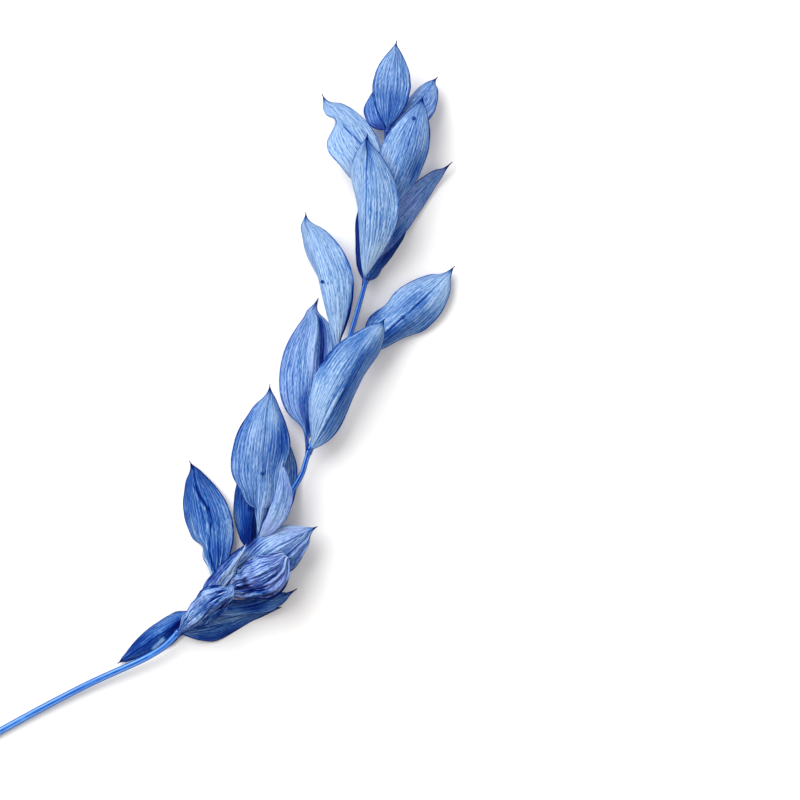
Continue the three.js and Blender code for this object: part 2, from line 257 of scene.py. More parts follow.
def blade_finish():
    finish = Finish("dyed_blade")
    line, grain, fleck, fibre, cloud = blade_noises(finish)
    vein, furrow = blade_veins(finish, line, fleck, fibre)
    rim, groove, flank = blade_zones(finish)
    tone = finish.attribute("tone")
    crumple = finish.attribute("crumple")
    texture = (grain - NOISE_MEAN) * GRAIN_SHARE + (fleck - NOISE_MEAN) * FLECK_SHARE
    texture = texture + (fibre - NOISE_MEAN) * FIBRE_SHARE
    pale = MEAN_PALENESS + tone * TONE_SHARE + (cloud - NOISE_MEAN) * CLOUD_SHARE
    pale = pale + texture * (TEXTURE + tone * PALE_TEXTURE + crumple * CRUMPLED_TEXTURE)
    pale = pale + vein * VEIN_LIGHT - furrow * (FURROW_DARK + crumple * CRUMPLED_FURROW_DARK)
    # The rim darkens the margin, partly as deeper dye and partly as painted shade.
    pale = pale - rim * RIM_DYE_AND_PAINTED_SHADE - groove * GROOVE_DARK + flank * FLANK_LIGHT
    blue = finish.add("ValToRGB", {"stops": BLUE_STOPS}, {0: pale.clamped()})
    lilac = finish.attribute("lilac") * finish.step(fibre + cloud, 0.85, 1.15)
    height = fleck * 0.5 + vein * 0.4 - furrow * 0.4 + fibre * 0.8
    skin = finish.add("BsdfPrincipled", {}, {
        "Base Color": finish.blend(lilac, blue, (*LILAC, 1.0), way="COLOR"),
        "Roughness": SATIN_ROUGHNESS + fleck * 0.16,
        "Normal": finish.bump(height, 0.7, 0.4 * MM),
        "Specular IOR Level": BLADE_GLOSS,
    })
    glow = finish.add("BsdfTranslucent", {}, {"Color": (*LIGHT_THROUGH, 1.0)})
    return finish.close(finish.add("MixShader", {}, {0: SHARE_THROUGH, 1: skin, 2: glow}))


blade_material = blade_finish()
print("blade finish nodes", len(blade_material.node_tree.nodes))

# %% [markdown]
# ## The stem's skin
# The stem takes more dye than the blades, so it has a ramp of stronger blues, and it grows
# darker towards its tip, with painted shade at the tip, where the blades above shade it. Pale
# fibres run along it and its ridges are paler. Both its sides carry painted shade: the right one,
# which is turned from the light, and the far left edge. The pruned end shows the lighter pith
# inside a darker rind. A noise in object space would run straight through the bends, so the mesh
# says at each point how far along and across the stem it is, and where it stands on a ridge, a
# side, a scar or the cut.

# %% Stem finish
PITH = (0.26, 0.38, 0.62)
STEM_MID = (0.055, 0.200, 0.620)
STEM_PALE = (0.260, 0.540, 0.980)
STEM_STOPS = [(0.0, DEEP_BLUE), (0.25, DARK_BLUE), (0.5, STEM_MID), (1.0, STEM_PALE)]
STEM_PALENESS = 0.54
STEM_FIBRE_SHARE = 0.7
STEM_GRAIN_SHARE = 0.6
STEM_CLOUD_SHARE = 0.4
STEM_RIDGE_LIGHT = 0.26
STEM_SCAR_DARK = 0.9
# Painted shade on the stem's right side, which is turned from the light, and on its far left edge.
STEM_RIGHT_PAINTED_SHADE = 0.12
STEM_LEFT_EDGE_PAINTED_SHADE = 0.25
STEM_UPPER_DARK = 0.2
# Painted shade on the stem's tip, where it runs under the blades.
STEM_TIP_PAINTED_SHADE = 0.3
STEM_GLOSS = 0.12


def stem_shade(finish, along):
    """The painted shade on the stem's two sides and at its tip, and how much darker its upper part is."""
    flank = finish.attribute("flank")
    right = finish.step(flank, 0.05, 0.6) * STEM_RIGHT_PAINTED_SHADE
    left = finish.step(0 - flank, 0.6, 0.95) * STEM_LEFT_EDGE_PAINTED_SHADE
    upper = finish.step(along, 60.0, 400.0) * STEM_UPPER_DARK
    tip = finish.step(along, 370.0, 410.0) * STEM_TIP_PAINTED_SHADE
    return right + left + upper + tip


def stem_finish():
    finish = Finish("dyed_stem")
    around = finish.attribute("around")
    along = finish.attribute("along")
    fibre = finish.noise(around * 9, along * 0.05, 0.0)
    grain = finish.noise(around * 26, along * 0.3, 3.0)
    cloud = finish.noise(around * 2, along * 0.03, 6.0)
    pale = STEM_PALENESS + (fibre - NOISE_MEAN) * STEM_FIBRE_SHARE
    pale = pale + (grain - NOISE_MEAN) * STEM_GRAIN_SHARE + (cloud - NOISE_MEAN) * STEM_CLOUD_SHARE
    pale = pale + finish.attribute("ridge") * STEM_RIDGE_LIGHT
    pale = pale - stem_shade(finish, along) - finish.attribute("scar") * STEM_SCAR_DARK
    blue = finish.add("ValToRGB", {"stops": STEM_STOPS}, {0: pale.clamped()})
    skin = finish.add("BsdfPrincipled", {}, {
        "Base Color": finish.blend(finish.attribute("cut"), blue, (*PITH, 1.0)),
        "Roughness": SATIN_ROUGHNESS + grain * 0.18,
        "Normal": finish.bump(grain * 0.6 + fibre * 0.5, 0.5, 0.3 * MM),
        "Specular IOR Level": STEM_GLOSS,
    })
    return finish.close(skin)


stem_material = stem_finish()
print("stem finish nodes", len(stem_material.node_tree.nodes))

# %% [markdown]
# ## Dry scales and flower knobs
# The flowers dried to small dark knobs, and the scales at the whorls to thin papery points.
# Both are matt and mottled, and darker than the blades. They are too small to show a grain, so
# one function makes both finishes, from a fine noise between a dark and a lighter blue.

# %% Dry finish
MOTTLES_PER_M = 1400.0
DRY_ROUGHNESS = 0.6
DRY_GLOSS = 0.15
KNOB_DARK = (0.001, 0.012, 0.11)
KNOB_LIGHT = (0.008, 0.08, 0.38)
SCALE_DARK = (0.008, 0.045, 0.26)
SCALE_LIGHT = (0.06, 0.15, 0.46)


def dry_finish(name, dark, light):
    finish = Finish(name)
    place = finish.add("TexCoord", {}, {}, output="Object")
    inputs = {"Vector": place, "Scale": MOTTLES_PER_M, "Detail": 3.0}
    mottle = finish.add("TexNoise", {}, inputs)
    stops = [(0.35, dark), (0.68, light)]
    skin = finish.add("BsdfPrincipled", {}, {
        "Base Color": finish.add("ValToRGB", {"stops": stops}, {0: mottle}),
        "Roughness": DRY_ROUGHNESS,
        "Normal": finish.bump(mottle, 0.5, 0.2 * MM),
        "Specular IOR Level": DRY_GLOSS,
    })
    return finish.close(skin)


knob_material = dry_finish("dry_knob", KNOB_DARK, KNOB_LIGHT)
scale_material = dry_finish("dry_scale", SCALE_DARK, SCALE_LIGHT)
print("dry finishes", knob_material.name, scale_material.name)

# %% [markdown]
# ## Placing pieces
# Every piece is worked out in millimetres in the CAD frame and scaled to metres when its mesh
# is made. It rides on the one body and stands for the CAD node, which is hidden. The
# lowest blades lie on the surface, so no point of a piece may be lower than a hair above it.

# %% Placing pieces
LOWEST_POINT = 0.02


def place_piece(name, points, faces, material, values=None):
    mesh = bpy.data.meshes.new(name)
    mesh.from_pydata((np.asarray(points) * MM).tolist(), [], faces)
    mesh.shade_smooth()
    for key, numbers in (values or {}).items():
        layer = mesh.attributes.new(key, "FLOAT", "POINT")
        layer.data.foreach_set("value", np.asarray(numbers, np.float32).ravel())
    mesh.materials.append(material)
    piece = bpy.data.objects.new(name, mesh)
    bpy.context.scene.collection.objects.link(piece)
    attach(piece, "root")
    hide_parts(NODE)
    return piece


def unit(vectors):
    return vectors / np.linalg.norm(vectors, axis=-1, keepdims=True)


def smooth_step(value, low, high):
    share = np.clip((value - low) / (high - low), 0, 1)
    return share * share * (3 - 2 * share)


# %% [markdown]
# ## The stem's route
# The route is a smooth curve through given points, the same as in the CAD: two points for
# each bend, and one at each whorl. A place on it is counted in points, so place 8 is the eighth
# point after the cut end.

# %% Stem route
STEM_POINTS = np.array([
    (-5, -3, 1.45),
    (49, 28.5, 2.1),
    (91, 51, 4),
    (125, 67, 7),
    (139, 78.5, 9),
    (157.5, 100, 11),
    (175, 119, 12.5),
    (198.5, 153.5, 13),
    (204.5, 169, 13.5),
    (220.5, 212.5, 14.5),
    (233, 254.5, 16),
    (238.5, 280, 17),
    (243.5, 329.5, 18),
])
SPANS = len(STEM_POINTS) - 1
WHORLS = [4, 5, 6, 8, 9, 10, 11, 12]
RADIUS_CUT = 1.75
RADIUS_TIP = 0.95
UP = np.array([0.0, 0.0, 1.0])


def stem_at(places):
    """Points on the stem's centre line, and unit vectors along it."""
    places = np.asarray(places, float)
    ends = 2 * STEM_POINTS[[0, -1]] - STEM_POINTS[[1, -2]]
    route = np.vstack([ends[:1], STEM_POINTS, ends[1:]])
    span = np.minimum(places.astype(int), SPANS - 1)
    w = (places - span)[..., None]
    before, start, end, after = (route[span + step] for step in range(4))
    leave = (end - before) / 2
    arrive = (after - start) / 2
    bend = 3 * (end - start) - 2 * leave - arrive
    twist = 2 * (start - end) + leave + arrive
    points = start + leave * w + bend * w**2 + twist * w**3
    return points, unit(leave + 2 * bend * w + 3 * twist * w**2)


def cross_frame(along):
    """Level and upward directions across a path that runs along given directions."""
    side = unit(np.cross(UP, along))
    return side, np.cross(along, side)


def stem_radius(places):
    return RADIUS_CUT + (RADIUS_TIP - RADIUS_CUT) * np.asarray(places) / SPANS


# %% [markdown]
# ## The stem
# The real stem is ridged along its length, and at each whorl it swells and has a raised scar. A
# curve with a round bevel would be quicker to make, but it can't carry ridges or scars, so the
# stem is a tube of rings whose radius is worked out at each point. Rings are close together at
# the whorls and wider apart between them. The pruned end is cut at a slant, and its face is made
# of smaller rings, so that the pith can be lighter than the rind.

# %% Stem rings
RING_SPACING = 1.8
WHORL_RINGS = np.linspace(-3.6, 3.6, 25)
FINE_STEPS = 4800

fine_places = np.linspace(0, SPANS, FINE_STEPS + 1)
fine_points, _ = stem_at(fine_places)
fine_steps = np.linalg.norm(np.diff(fine_points, axis=0), axis=1)
fine_lengths = np.concatenate([[0], np.cumsum(fine_steps)])
whorl_lengths = np.interp(WHORLS, fine_places, fine_lengths)
ring_lengths = np.concatenate([
    np.arange(0, fine_lengths[-1], RING_SPACING),
    (whorl_lengths[:, None] + WHORL_RINGS).ravel(),
])
ring_lengths = np.unique(np.round(np.clip(ring_lengths, 0, fine_lengths[-1]), 2))
print("stem length", round(fine_lengths[-1]), "mm in", len(ring_lengths), "rings")

# %% Stem outline
STEM_SIDES = 60
RIDGES = 5
RIDGE_DEPTH = 0.075
GROOVES = 17
GROOVE_DEPTH = 0.022
GROOVE_TWIST = 0.02
WHORL_SWELLING = 0.22
WHORL_REACH = 1.6
SCAR_HEIGHT = 0.13
PRUNING_SLANT = math.radians(20)
ANGLES = 2 * np.pi * (np.arange(STEM_SIDES) + 0.5) / STEM_SIDES
RIDGE = -np.cos(RIDGES * (ANGLES - np.pi / (2 * RIDGES)))


def stem_tube(places, centres, along, scar):
    """Rings of points from the slanted cut to the tip, with ridges, grooves and scars."""
    side, up = cross_frame(along)
    to_whorl = np.abs(ring_lengths[:, None] - whorl_lengths).min(1)
    swelling = WHORL_SWELLING * np.exp(-((to_whorl / WHORL_REACH) ** 2))
    swollen = stem_radius(places) * (1 + swelling)
    groove = np.cos(GROOVES * ANGLES + ring_lengths[:, None] * GROOVE_TWIST)
    reach = swollen[:, None] * (1 + RIDGE_DEPTH * RIDGE + GROOVE_DEPTH * groove)
    reach = reach + SCAR_HEIGHT * scar[:, None]
    level = reach * np.cos(ANGLES)
    height = reach * np.sin(ANGLES)
    rings = centres[:, None] + side[:, None] * level[..., None] + up[:, None] * height[..., None]
    rings[0] += along[0] * (height[0] * math.tan(PRUNING_SLANT))[:, None]
    return rings


# %% Pruned end
CUT_RINGS = 6
CUT_MIDDLE = 0.05
CUT_ROUGHNESS = 0.12
CUT_SEED = 3


def cut_face(rim, along):
    """Rings that fill the pruned end, the smallest first, on a slightly rough face."""
    shrink = np.linspace(1, CUT_MIDDLE, CUT_RINGS)[1:, None, None]
    face = rim.mean(0) + (rim - rim.mean(0)) * shrink
    rough = np.random.default_rng(CUT_SEED).random((CUT_RINGS - 1, STEM_SIDES, 1))
    return face[::-1] + along * CUT_ROUGHNESS * rough


# %% Stem mesh
SCAR_REACH = 0.4
SCAR_OFFSET = 1.15
TIP_LENGTH = 0.4
ACROSS_SCALE = 1.5
PITH_EDGE = 0.55


def ring_faces(rings, sides):
    faces = []
    for ring in range(rings - 1):
        for corner in range(sides):
            here = ring * sides + corner
            beside = ring * sides + (corner + 1) % sides
            faces.append((here, beside, beside + sides, here + sides))
    return faces


def stem_faces(rings):
    """The tube's faces, one face in the middle of the cut, and a cone to the tip's point."""
    faces = ring_faces(rings, STEM_SIDES)
    faces.append(tuple(range(STEM_SIDES))[::-1])
    tip = rings * STEM_SIDES
    last = tip - STEM_SIDES
    faces += [(last + side, last + (side + 1) % STEM_SIDES, tip) for side in range(STEM_SIDES)]
    return faces


def stem_values(scar):
    """What the finish reads at each point. The tip's point comes last, with nothing added."""
    face = np.zeros(CUT_RINGS - 1)
    pith = np.linspace(1, PITH_EDGE, CUT_RINGS - 1)
    along = np.concatenate([face, ring_lengths])[:, None]
    spread = np.ones((len(along), STEM_SIDES))
    values = {
        "around": spread * np.sin(ANGLES) * ACROSS_SCALE,
        "along": spread * along,
        "ridge": spread * RIDGE,
        "flank": spread * -np.cos(ANGLES),
        "scar": spread * np.concatenate([face, scar])[:, None],
        "cut": spread * np.concatenate([pith, 0 * scar])[:, None],
    }
    return {key: np.append(numbers.ravel(), 0.0) for key, numbers in values.items()}


def build_stem():
    places = np.interp(ring_lengths, fine_lengths, fine_places)
    centres, along = stem_at(places)
    to_scar = np.abs(ring_lengths[:, None] - whorl_lengths - SCAR_OFFSET).min(1)
    scar = np.exp(-((to_scar / SCAR_REACH) ** 2))
    tube = stem_tube(places, centres, along, scar)
    rings = np.vstack([cut_face(tube[0], along[0]), tube])
    tip = centres[-1] + along[-1] * TIP_LENGTH
    points = np.vstack([rings.reshape(-1, 3), tip])
    points[:, 2] = np.maximum(points[:, 2], LOWEST_POINT)
    return place_piece("stem", points, stem_faces(len(rings)), stem_material, stem_values(scar))


stem = build_stem()
print("stem faces", len(stem.data.polygons))

# %% [markdown]
# ## The blades
# No two blades are alike: each has its own outline, fold and bend. Sculpting them by hand would
# lose the CAD's form, so each is a row of values for one formula. They are the CAD's values, with
# a few more small swells on four of the outlines. Lengths are in mm. A second table gives what
# the eye adds: how pale each half is, which is partly the dye and partly painted light and shade,
# how much lilac shows, how crumpled the blade is and how its point hooks. The tables after it
# place single creases, broad patches and the flower knobs.

# %% Blade shapes
# at: the place on the stem. tip: the point.
# bow and rise: how far to the left the midrib's two handles lie, and how high.
# half: half of the width. neck: the stalk's share of the length.
# left and right: how many degrees each half slopes down at the base, the middle and the point.
# curl: how many degrees more each half slopes at the margin than at the midrib.
# wave: height of the ripples at the margin.
# full: how the outline fills towards the base and towards the point, where less is fuller.
# swells: for each, its side, with 1 for the left, its place, its height and its reach.
PLAIN_BLADE = dict(curl=(10, 10), full=(0.8, 0.86), swells=[])
BLADE_ROWS = [
    dict(name="first_crumpled", at=4, tip=(170.5, 103, 30), bow=(2, 1), rise=(24, 33),
         half=10.5, left=(40, 45, 40), right=(40, 50, 40),
         wave=1, neck=0.02, full=(0.85, 0.8), swells=[(-1, 0.5, -2.5, 0.3)]),
    dict(name="first_narrow", at=4.35, tip=(174.5, 124.5, 22), bow=(0.5, 0), rise=(22, 25),
         half=5.8, left=(40, 50, 40), right=(40, 50, 40), curl=(15, 15),
         wave=0.6, neck=0.02),
    dict(name="first_right", at=4, tip=(190.5, 90.5, -2.5), bow=(1.5, 1.5), rise=(5, 2),
         half=9.2, left=(10, 15, 20), right=(15, 30, 30),
         wave=0.5, neck=0.02, swells=[(-1, 0.7, -2.5, 0.2), (-1, 0.27, 2, 0.15)]),
    dict(name="first_bent_back", at=4.5, tip=(108, 62.5, 2.5), bow=(-0.5, -0.5), rise=(5, 3.5),
         half=9.5, left=(40, 40, 40), right=(45, 60, 50),
         wave=0.5, neck=0.04),
    dict(name="second_left", at=5, tip=(144, 164.5, 3), bow=(-1.5, -3), rise=(9, 7),
         half=14.2, left=(105, 52, 25), right=(10, 10, 25), curl=(25, 15),
         wave=1, neck=0.05, swells=[(1, 0.33, -6, 0.05), (1, 0.25, 1, 0.04)]),
    dict(name="second_long", at=5, tip=(209, 132, 18), bow=(-0.5, 0.5), rise=(17, 22),
         half=14.5, left=(10, 25, 25), right=(50, 28, 25), curl=(15, 10),
         wave=0.8, neck=0.04, swells=[(1, 0.33, -4.5, 0.16)]),
    dict(name="second_crumpled", at=5, tip=(196, 116.5, 25), bow=(-3.5, -4.5), rise=(24, 34),
         half=12.5, left=(15, 25, 15), right=(30, 30, 0), curl=(30, 30),
         wave=1.6, neck=0.04, full=(1, 0.7)),
    dict(name="second_right", at=4.6, tip=(198.5, 100.5, 8), bow=(-5, -5), rise=(14, 13),
         half=9.5, left=(60, 68, 60), right=(50, 55, 10),
         wave=0.6, neck=0.03, swells=[(1, 0.6, -2, 0.25), (-1, 0.45, -4, 0.25)]),
    dict(name="third_broad", at=6.2, tip=(185, 203, 15), bow=(0.7, 0.2), rise=(21, 23),
         half=15.8, left=(60, 0, 25), right=(50, 25, 30), curl=(25, 25),
         wave=1, neck=0.2, full=(0.6, 0.85),
         swells=[(1, 0.2, 2.6, 0.1), (-1, 0.2, 5, 0.11), (-1, 0.45, -4, 0.14), (1, 0.3, -2, 0.06)]),
    dict(name="third_pale", at=6.2, tip=(192.5, 164, 29), bow=(-2, -1), rise=(27, 32),
         half=10.2, left=(90, 135, 80), right=(10, 8, 20), curl=(10, 15),
         wave=0.6, neck=0.03),
    dict(name="third_right_under", at=6.2, tip=(193.5, 176.5, 5), bow=(-1.5, -1.5), rise=(10, 8),
         half=11.5, left=(60, 68, 50), right=(20, 18, 15),
         wave=0.6, neck=0.03),
    dict(name="third_left_under", at=6, tip=(175, 171.5, 2), bow=(0.8, 0.3), rise=(5, 3),
         half=12, left=(45, 55, 50), right=(65, 70, 60),
         wave=0.6, neck=0.03),
    dict(name="fourth_top", at=8, tip=(242.5, 235, 29), bow=(1, 1), rise=(26, 31),
         half=16.4, left=(55, 12, 20), right=(0, 75, 30), curl=(20, 10),
         wave=0.8, neck=0.03, full=(0.85, 0.72), swells=[(-1, 0.36, -2, 0.12)]),
    dict(name="fourth_left", at=8, tip=(209, 246.5, -2.5), bow=(4.5, 2.5), rise=(9, 6),
         half=14.5, left=(35, 12, 30), right=(15, 18, 25), curl=(15, 15),
         wave=0.8, neck=0.08, swells=[(1, 0.16, -4, 0.07), (-1, 0.78, 2, 0.12)]),
    dict(name="fifth_left", at=9, tip=(203, 289, 15), bow=(-1.6, 0.6), rise=(20, 21),
         half=16.5, left=(95, 100, 30), right=(30, 10, 20), curl=(10, 15),
         wave=0.8, neck=0.08, full=(1.2, 1)),
    dict(name="fifth_right", at=9, tip=(277.5, 262.5, 5), bow=(-3.2, -3.6), rise=(15, 10),
         half=14.5, left=(75, 33, 30), right=(75, 46, 0), curl=(15, 20),
         wave=0.9, neck=0.1, full=(0.9, 0.8),
         swells=[(1, 0.33, 2.2, 0.08), (1, 0.5, -1.8, 0.08), (-1, 0.43, -3, 0.12)]),
    dict(name="sixth_top", at=10, tip=(234, 326.5, 34), bow=(0, 0), rise=(29, 35),
         half=16.4, left=(50, 79, 0), right=(25, 8, 15), curl=(20, 15),
         wave=0.8, neck=0.03, full=(1, 0.95), swells=[(1, 0.2, -1.5, 0.12)]),
    dict(name="sixth_left_under", at=9.95, tip=(236, 306, 4), bow=(1.5, 3), rise=(10, 6),
         half=8, left=(50, 58, 45), right=(20, 20, 20),
         wave=0.5, neck=0.04),
    dict(name="sixth_right_under", at=10, tip=(255, 285, 0), bow=(0, 0), rise=(8, 2),
         half=9.5, left=(-20, -40, -30), right=(75, 75, 60),
         wave=0.5, neck=0.02),
    dict(name="sixth_right", at=10.3, tip=(276.5, 314.5, 6), bow=(4, 4.5), rise=(11, 8),
         half=8.6, left=(-35, -40, -30), right=(35, 50, 50), curl=(0, 10),
         wave=0.5, neck=0.03),
    dict(name="seventh_left", at=11.25, tip=(211, 348, 13), bow=(-3.5, -4.5), rise=(22, 21),
         half=13.5, left=(100, 10, 60), right=(15, 25, 20), curl=(15, 10),
         wave=0.8, neck=0.1, swells=[(1, 0.76, -7, 0.07), (1, 0.4, -2, 0.12)]),
    dict(name="seventh_right", at=11, tip=(261.5, 345.5, 26), bow=(-1.5, -1.5), rise=(25, 30),
         half=13, left=(25, 15, 20), right=(70, 42, 10), curl=(15, 15),
         wave=0.6, neck=0.12),
    dict(name="tip_middle", at=12, tip=(248.5, 373.5, 24), bow=(0.2, 0.2), rise=(20, 23),
         half=9.6, left=(10, 5, 25), right=(10, 12, 25),
         wave=0.4, neck=0.02, full=(0.95, 1)),
    dict(name="tip_right", at=12, tip=(269, 357, 9), bow=(-2, -2.5), rise=(17, 13),
         half=10, left=(5, 48, 15), right=(10, 15, 20),
         wave=0.4, neck=0.02, swells=[(1, 0.6, -1.5, 0.2)]),
    dict(name="tip_left", at=12, tip=(239, 353, 5), bow=(0.5, 0.5), rise=(11, 6),
         half=9.6, left=(35, 20, 20), right=(40, 20, 10),
         wave=0.4, neck=0.02, swells=[(-1, 0.5, -4, 0.3)]),
]
BLADES = [PLAIN_BLADE | row for row in BLADE_ROWS]
print("blades described", len(BLADES))

# %% Blade looks
# tone: how much paler than the mean the left and the right half are, with minus for darker.
# ends: what the base and the point add to that. Both are partly the dye and partly painted light
# and shade: halves turned from the light, blades lying under others and shadows cast across a
# base or a point. lilac: from 0 to 1. crumple: how strong the pleats are, from 0 to 1. hook: how
# far the midrib swings to -X and -Y just before the point, in mm, so that the point hooks back.
PLAIN_LOOK = dict(ends=(0, 0), lilac=0.0, crumple=0.05, hook=(0, 0))
LOOKS = {
    "first_crumpled": dict(tone=(-0.3, -0.45), lilac=0.35, crumple=0.75, hook=(1, -1)),
    "first_narrow": dict(tone=(-1.0, 1.3), ends=(-0.2, 0), lilac=0.5, crumple=0.5),
    "first_right": dict(tone=(-0.4, -0.4), lilac=0.1, crumple=0.1),
    "first_bent_back": dict(tone=(-1.0, -0.6), crumple=0.1),
    "second_left": dict(tone=(-0.45, -0.45), ends=(-0.1, -0.5), crumple=0.1, hook=(-1, 0.4)),
    "second_long": dict(tone=(0.2, -0.25), ends=(0, 0.1), lilac=0.4, crumple=0.4, hook=(1, 0)),
    "second_crumpled": dict(tone=(-0.3, -0.4), ends=(0, 0.2), lilac=0.65, crumple=1, hook=(0.5, -2.5)),
    "second_right": dict(tone=(-0.8, -0.7), crumple=0.15, hook=(1.2, 0.8)),
    "third_broad": dict(tone=(0.1, -0.3), ends=(-0.1, 0), lilac=0.1, hook=(-0.6, 0.8)),
    "third_pale": dict(tone=(0.8, 0.7), ends=(0.8, 0), lilac=0.5, crumple=0.2),
    "third_right_under": dict(tone=(-0.3, -0.2), crumple=0.1),
    "third_left_under": dict(tone=(-1.1, -1.1), ends=(-0.9, 0), crumple=0.1),
    "fourth_top": dict(tone=(0.3, -0.2), ends=(0.1, 0.1)),
    "fourth_left": dict(tone=(0.15, 0.1), ends=(-0.3, 0.2), lilac=0.3, crumple=0.1, hook=(2.2, 0.8)),
    "fifth_left": dict(tone=(0.5, 0.75), ends=(0.3, 0), hook=(1.2, 0.6)),
    "fifth_right": dict(tone=(0.35, 0), ends=(-0.2, 0.2), hook=(0.8, 1.6)),
    "sixth_top": dict(tone=(0.5, 0.4), ends=(0.5, 0), hook=(0.6, 0.4)),
    "sixth_left_under": dict(tone=(-1.8, -1.8)),
    "sixth_right_under": dict(tone=(-0.7, -1.3)),
    "sixth_right": dict(tone=(0.05, 0.05), ends=(-0.6, 0), lilac=0.5, hook=(1.2, 1.2)),
    "seventh_left": dict(tone=(0.85, 0.7), ends=(0.4, 0), hook=(0.8, 1.6)),
    "seventh_right": dict(tone=(0.1, 0), ends=(-0.1, -0.1), lilac=0.1),
    "tip_middle": dict(tone=(0.15, 0.1), ends=(-0.8, 0.3), lilac=0.1, hook=(0.5, 0.3)),
    "tip_right": dict(tone=(0.1, 0), ends=(-0.2, 0), lilac=0.25, hook=(1.2, 0.6)),
    "tip_left": dict(tone=(-0.3, -0.5), ends=(-1.4, 0), lilac=0.25),
}

# %% Creases
# Where each crease starts and ends, as a share of the half from the midrib, with minus on the
# left, and a share of the length. Then its half width and its height in mm, with minus for a
# groove, and what it adds to the tone, which is painted shade along a groove and painted light
# along a raised crease.
CREASES = {
    "seventh_left": [((-0.02, 0.69), (0.3, 0.48), 0.45, -0.35, -2.0)],
    "second_left": [
        ((-0.1, 0.8), (0.27, 0.58), 0.8, -0.6, -1.2),
        ((0.27, 0.62), (0.22, 0.46), 0.6, -0.5, -1.0),
        ((0.22, 0.5), (0.02, 0.3), 0.4, -0.5, -1.0),
        ((-0.25, 0.8), (0.13, 0.6), 0.45, 0.4, 0.8),
        ((0.13, 0.64), (0.1, 0.46), 0.45, 0.4, 0.7),
        ((0.1, 0.5), (-0.12, 0.3), 0.4, 0.4, 0.9),
        ((-0.5, 0.29), (-0.05, 0.1), 1.0, 0.6, 2.2),
        ((-0.05, 0.28), (0.3, 0.1), 0.6, -0.5, -1.2),
    ],
    "second_long": [
        ((-0.25, 0.25), (-0.12, 0.85), 0.5, -0.6, -1.2),
        ((-0.5, 0.3), (-0.45, 0.8), 0.4, -0.3, -0.8),
        ((0.35, 0.4), (0.3, 0.9), 0.5, -0.4, -0.9),
    ],
    "fourth_left": [
        ((0.5, 0.55), (0.42, 0.9), 2.0, -1.0, -1.6),
        ((0.12, 0.5), (0.12, 0.92), 1.0, 0.8, 0.9),
    ],
    "fourth_top": [
        ((-0.03, 0.05), (-0.04, 0.5), 0.4, 0.4, 0.9),
        ((0.09, 0.04), (0.06, 0.5), 0.4, -0.3, -1.1),
        ((-0.1, 0.5), (-0.33, 0.93), 0.4, 0.3, 0.5),
    ],
    "fifth_left": [((1.0, 0.48), (0.85, 0.1), 1.2, -0.5, -2.4)],
    "fifth_right": [
        ((0.03, 0.3), (-0.04, 0.52), 0.45, -0.4, -1.6),
        ((-0.04, 0.52), (0.04, 0.9), 0.3, -0.3, -1.0),
        ((-0.1, 0.34), (-0.14, 0.54), 0.5, 0.3, 1.0),
    ],
    "first_bent_back": [
        ((0.62, 0.1), (0.75, 0.5), 0.9, 0.3, 0.4),
        ((-0.38, 0.44), (-0.55, 0.62), 1.1, 0.6, 2.4),
    ],
    "first_crumpled": [
        ((-0.1, 0.58), (-0.75, 0.88), 0.6, -0.5, -1.6),
        ((0.3, 0.34), (-0.1, 0.76), 0.5, -0.5, -1.4),
        ((0.6, 0.3), (0.4, 0.86), 0.5, -0.5, -1.3),
    ],
    "second_crumpled": [
        ((0.3, 0.5), (0.02, 0.98), 0.5, -0.3, -1.0),
        ((-0.45, 0.52), (-0.25, 0.96), 0.5, -0.2, -0.7),
        ((0.5, 0.5), (0.15, 0.96), 0.4, 0.3, 0.9),
    ],
    "third_broad": [((0, 0.46), (0, 0.92), 0.35, -0.2, -0.35)],
    "sixth_top": [((0, 0.5), (0, 0.93), 0.4, -0.3, -1.0)],
}

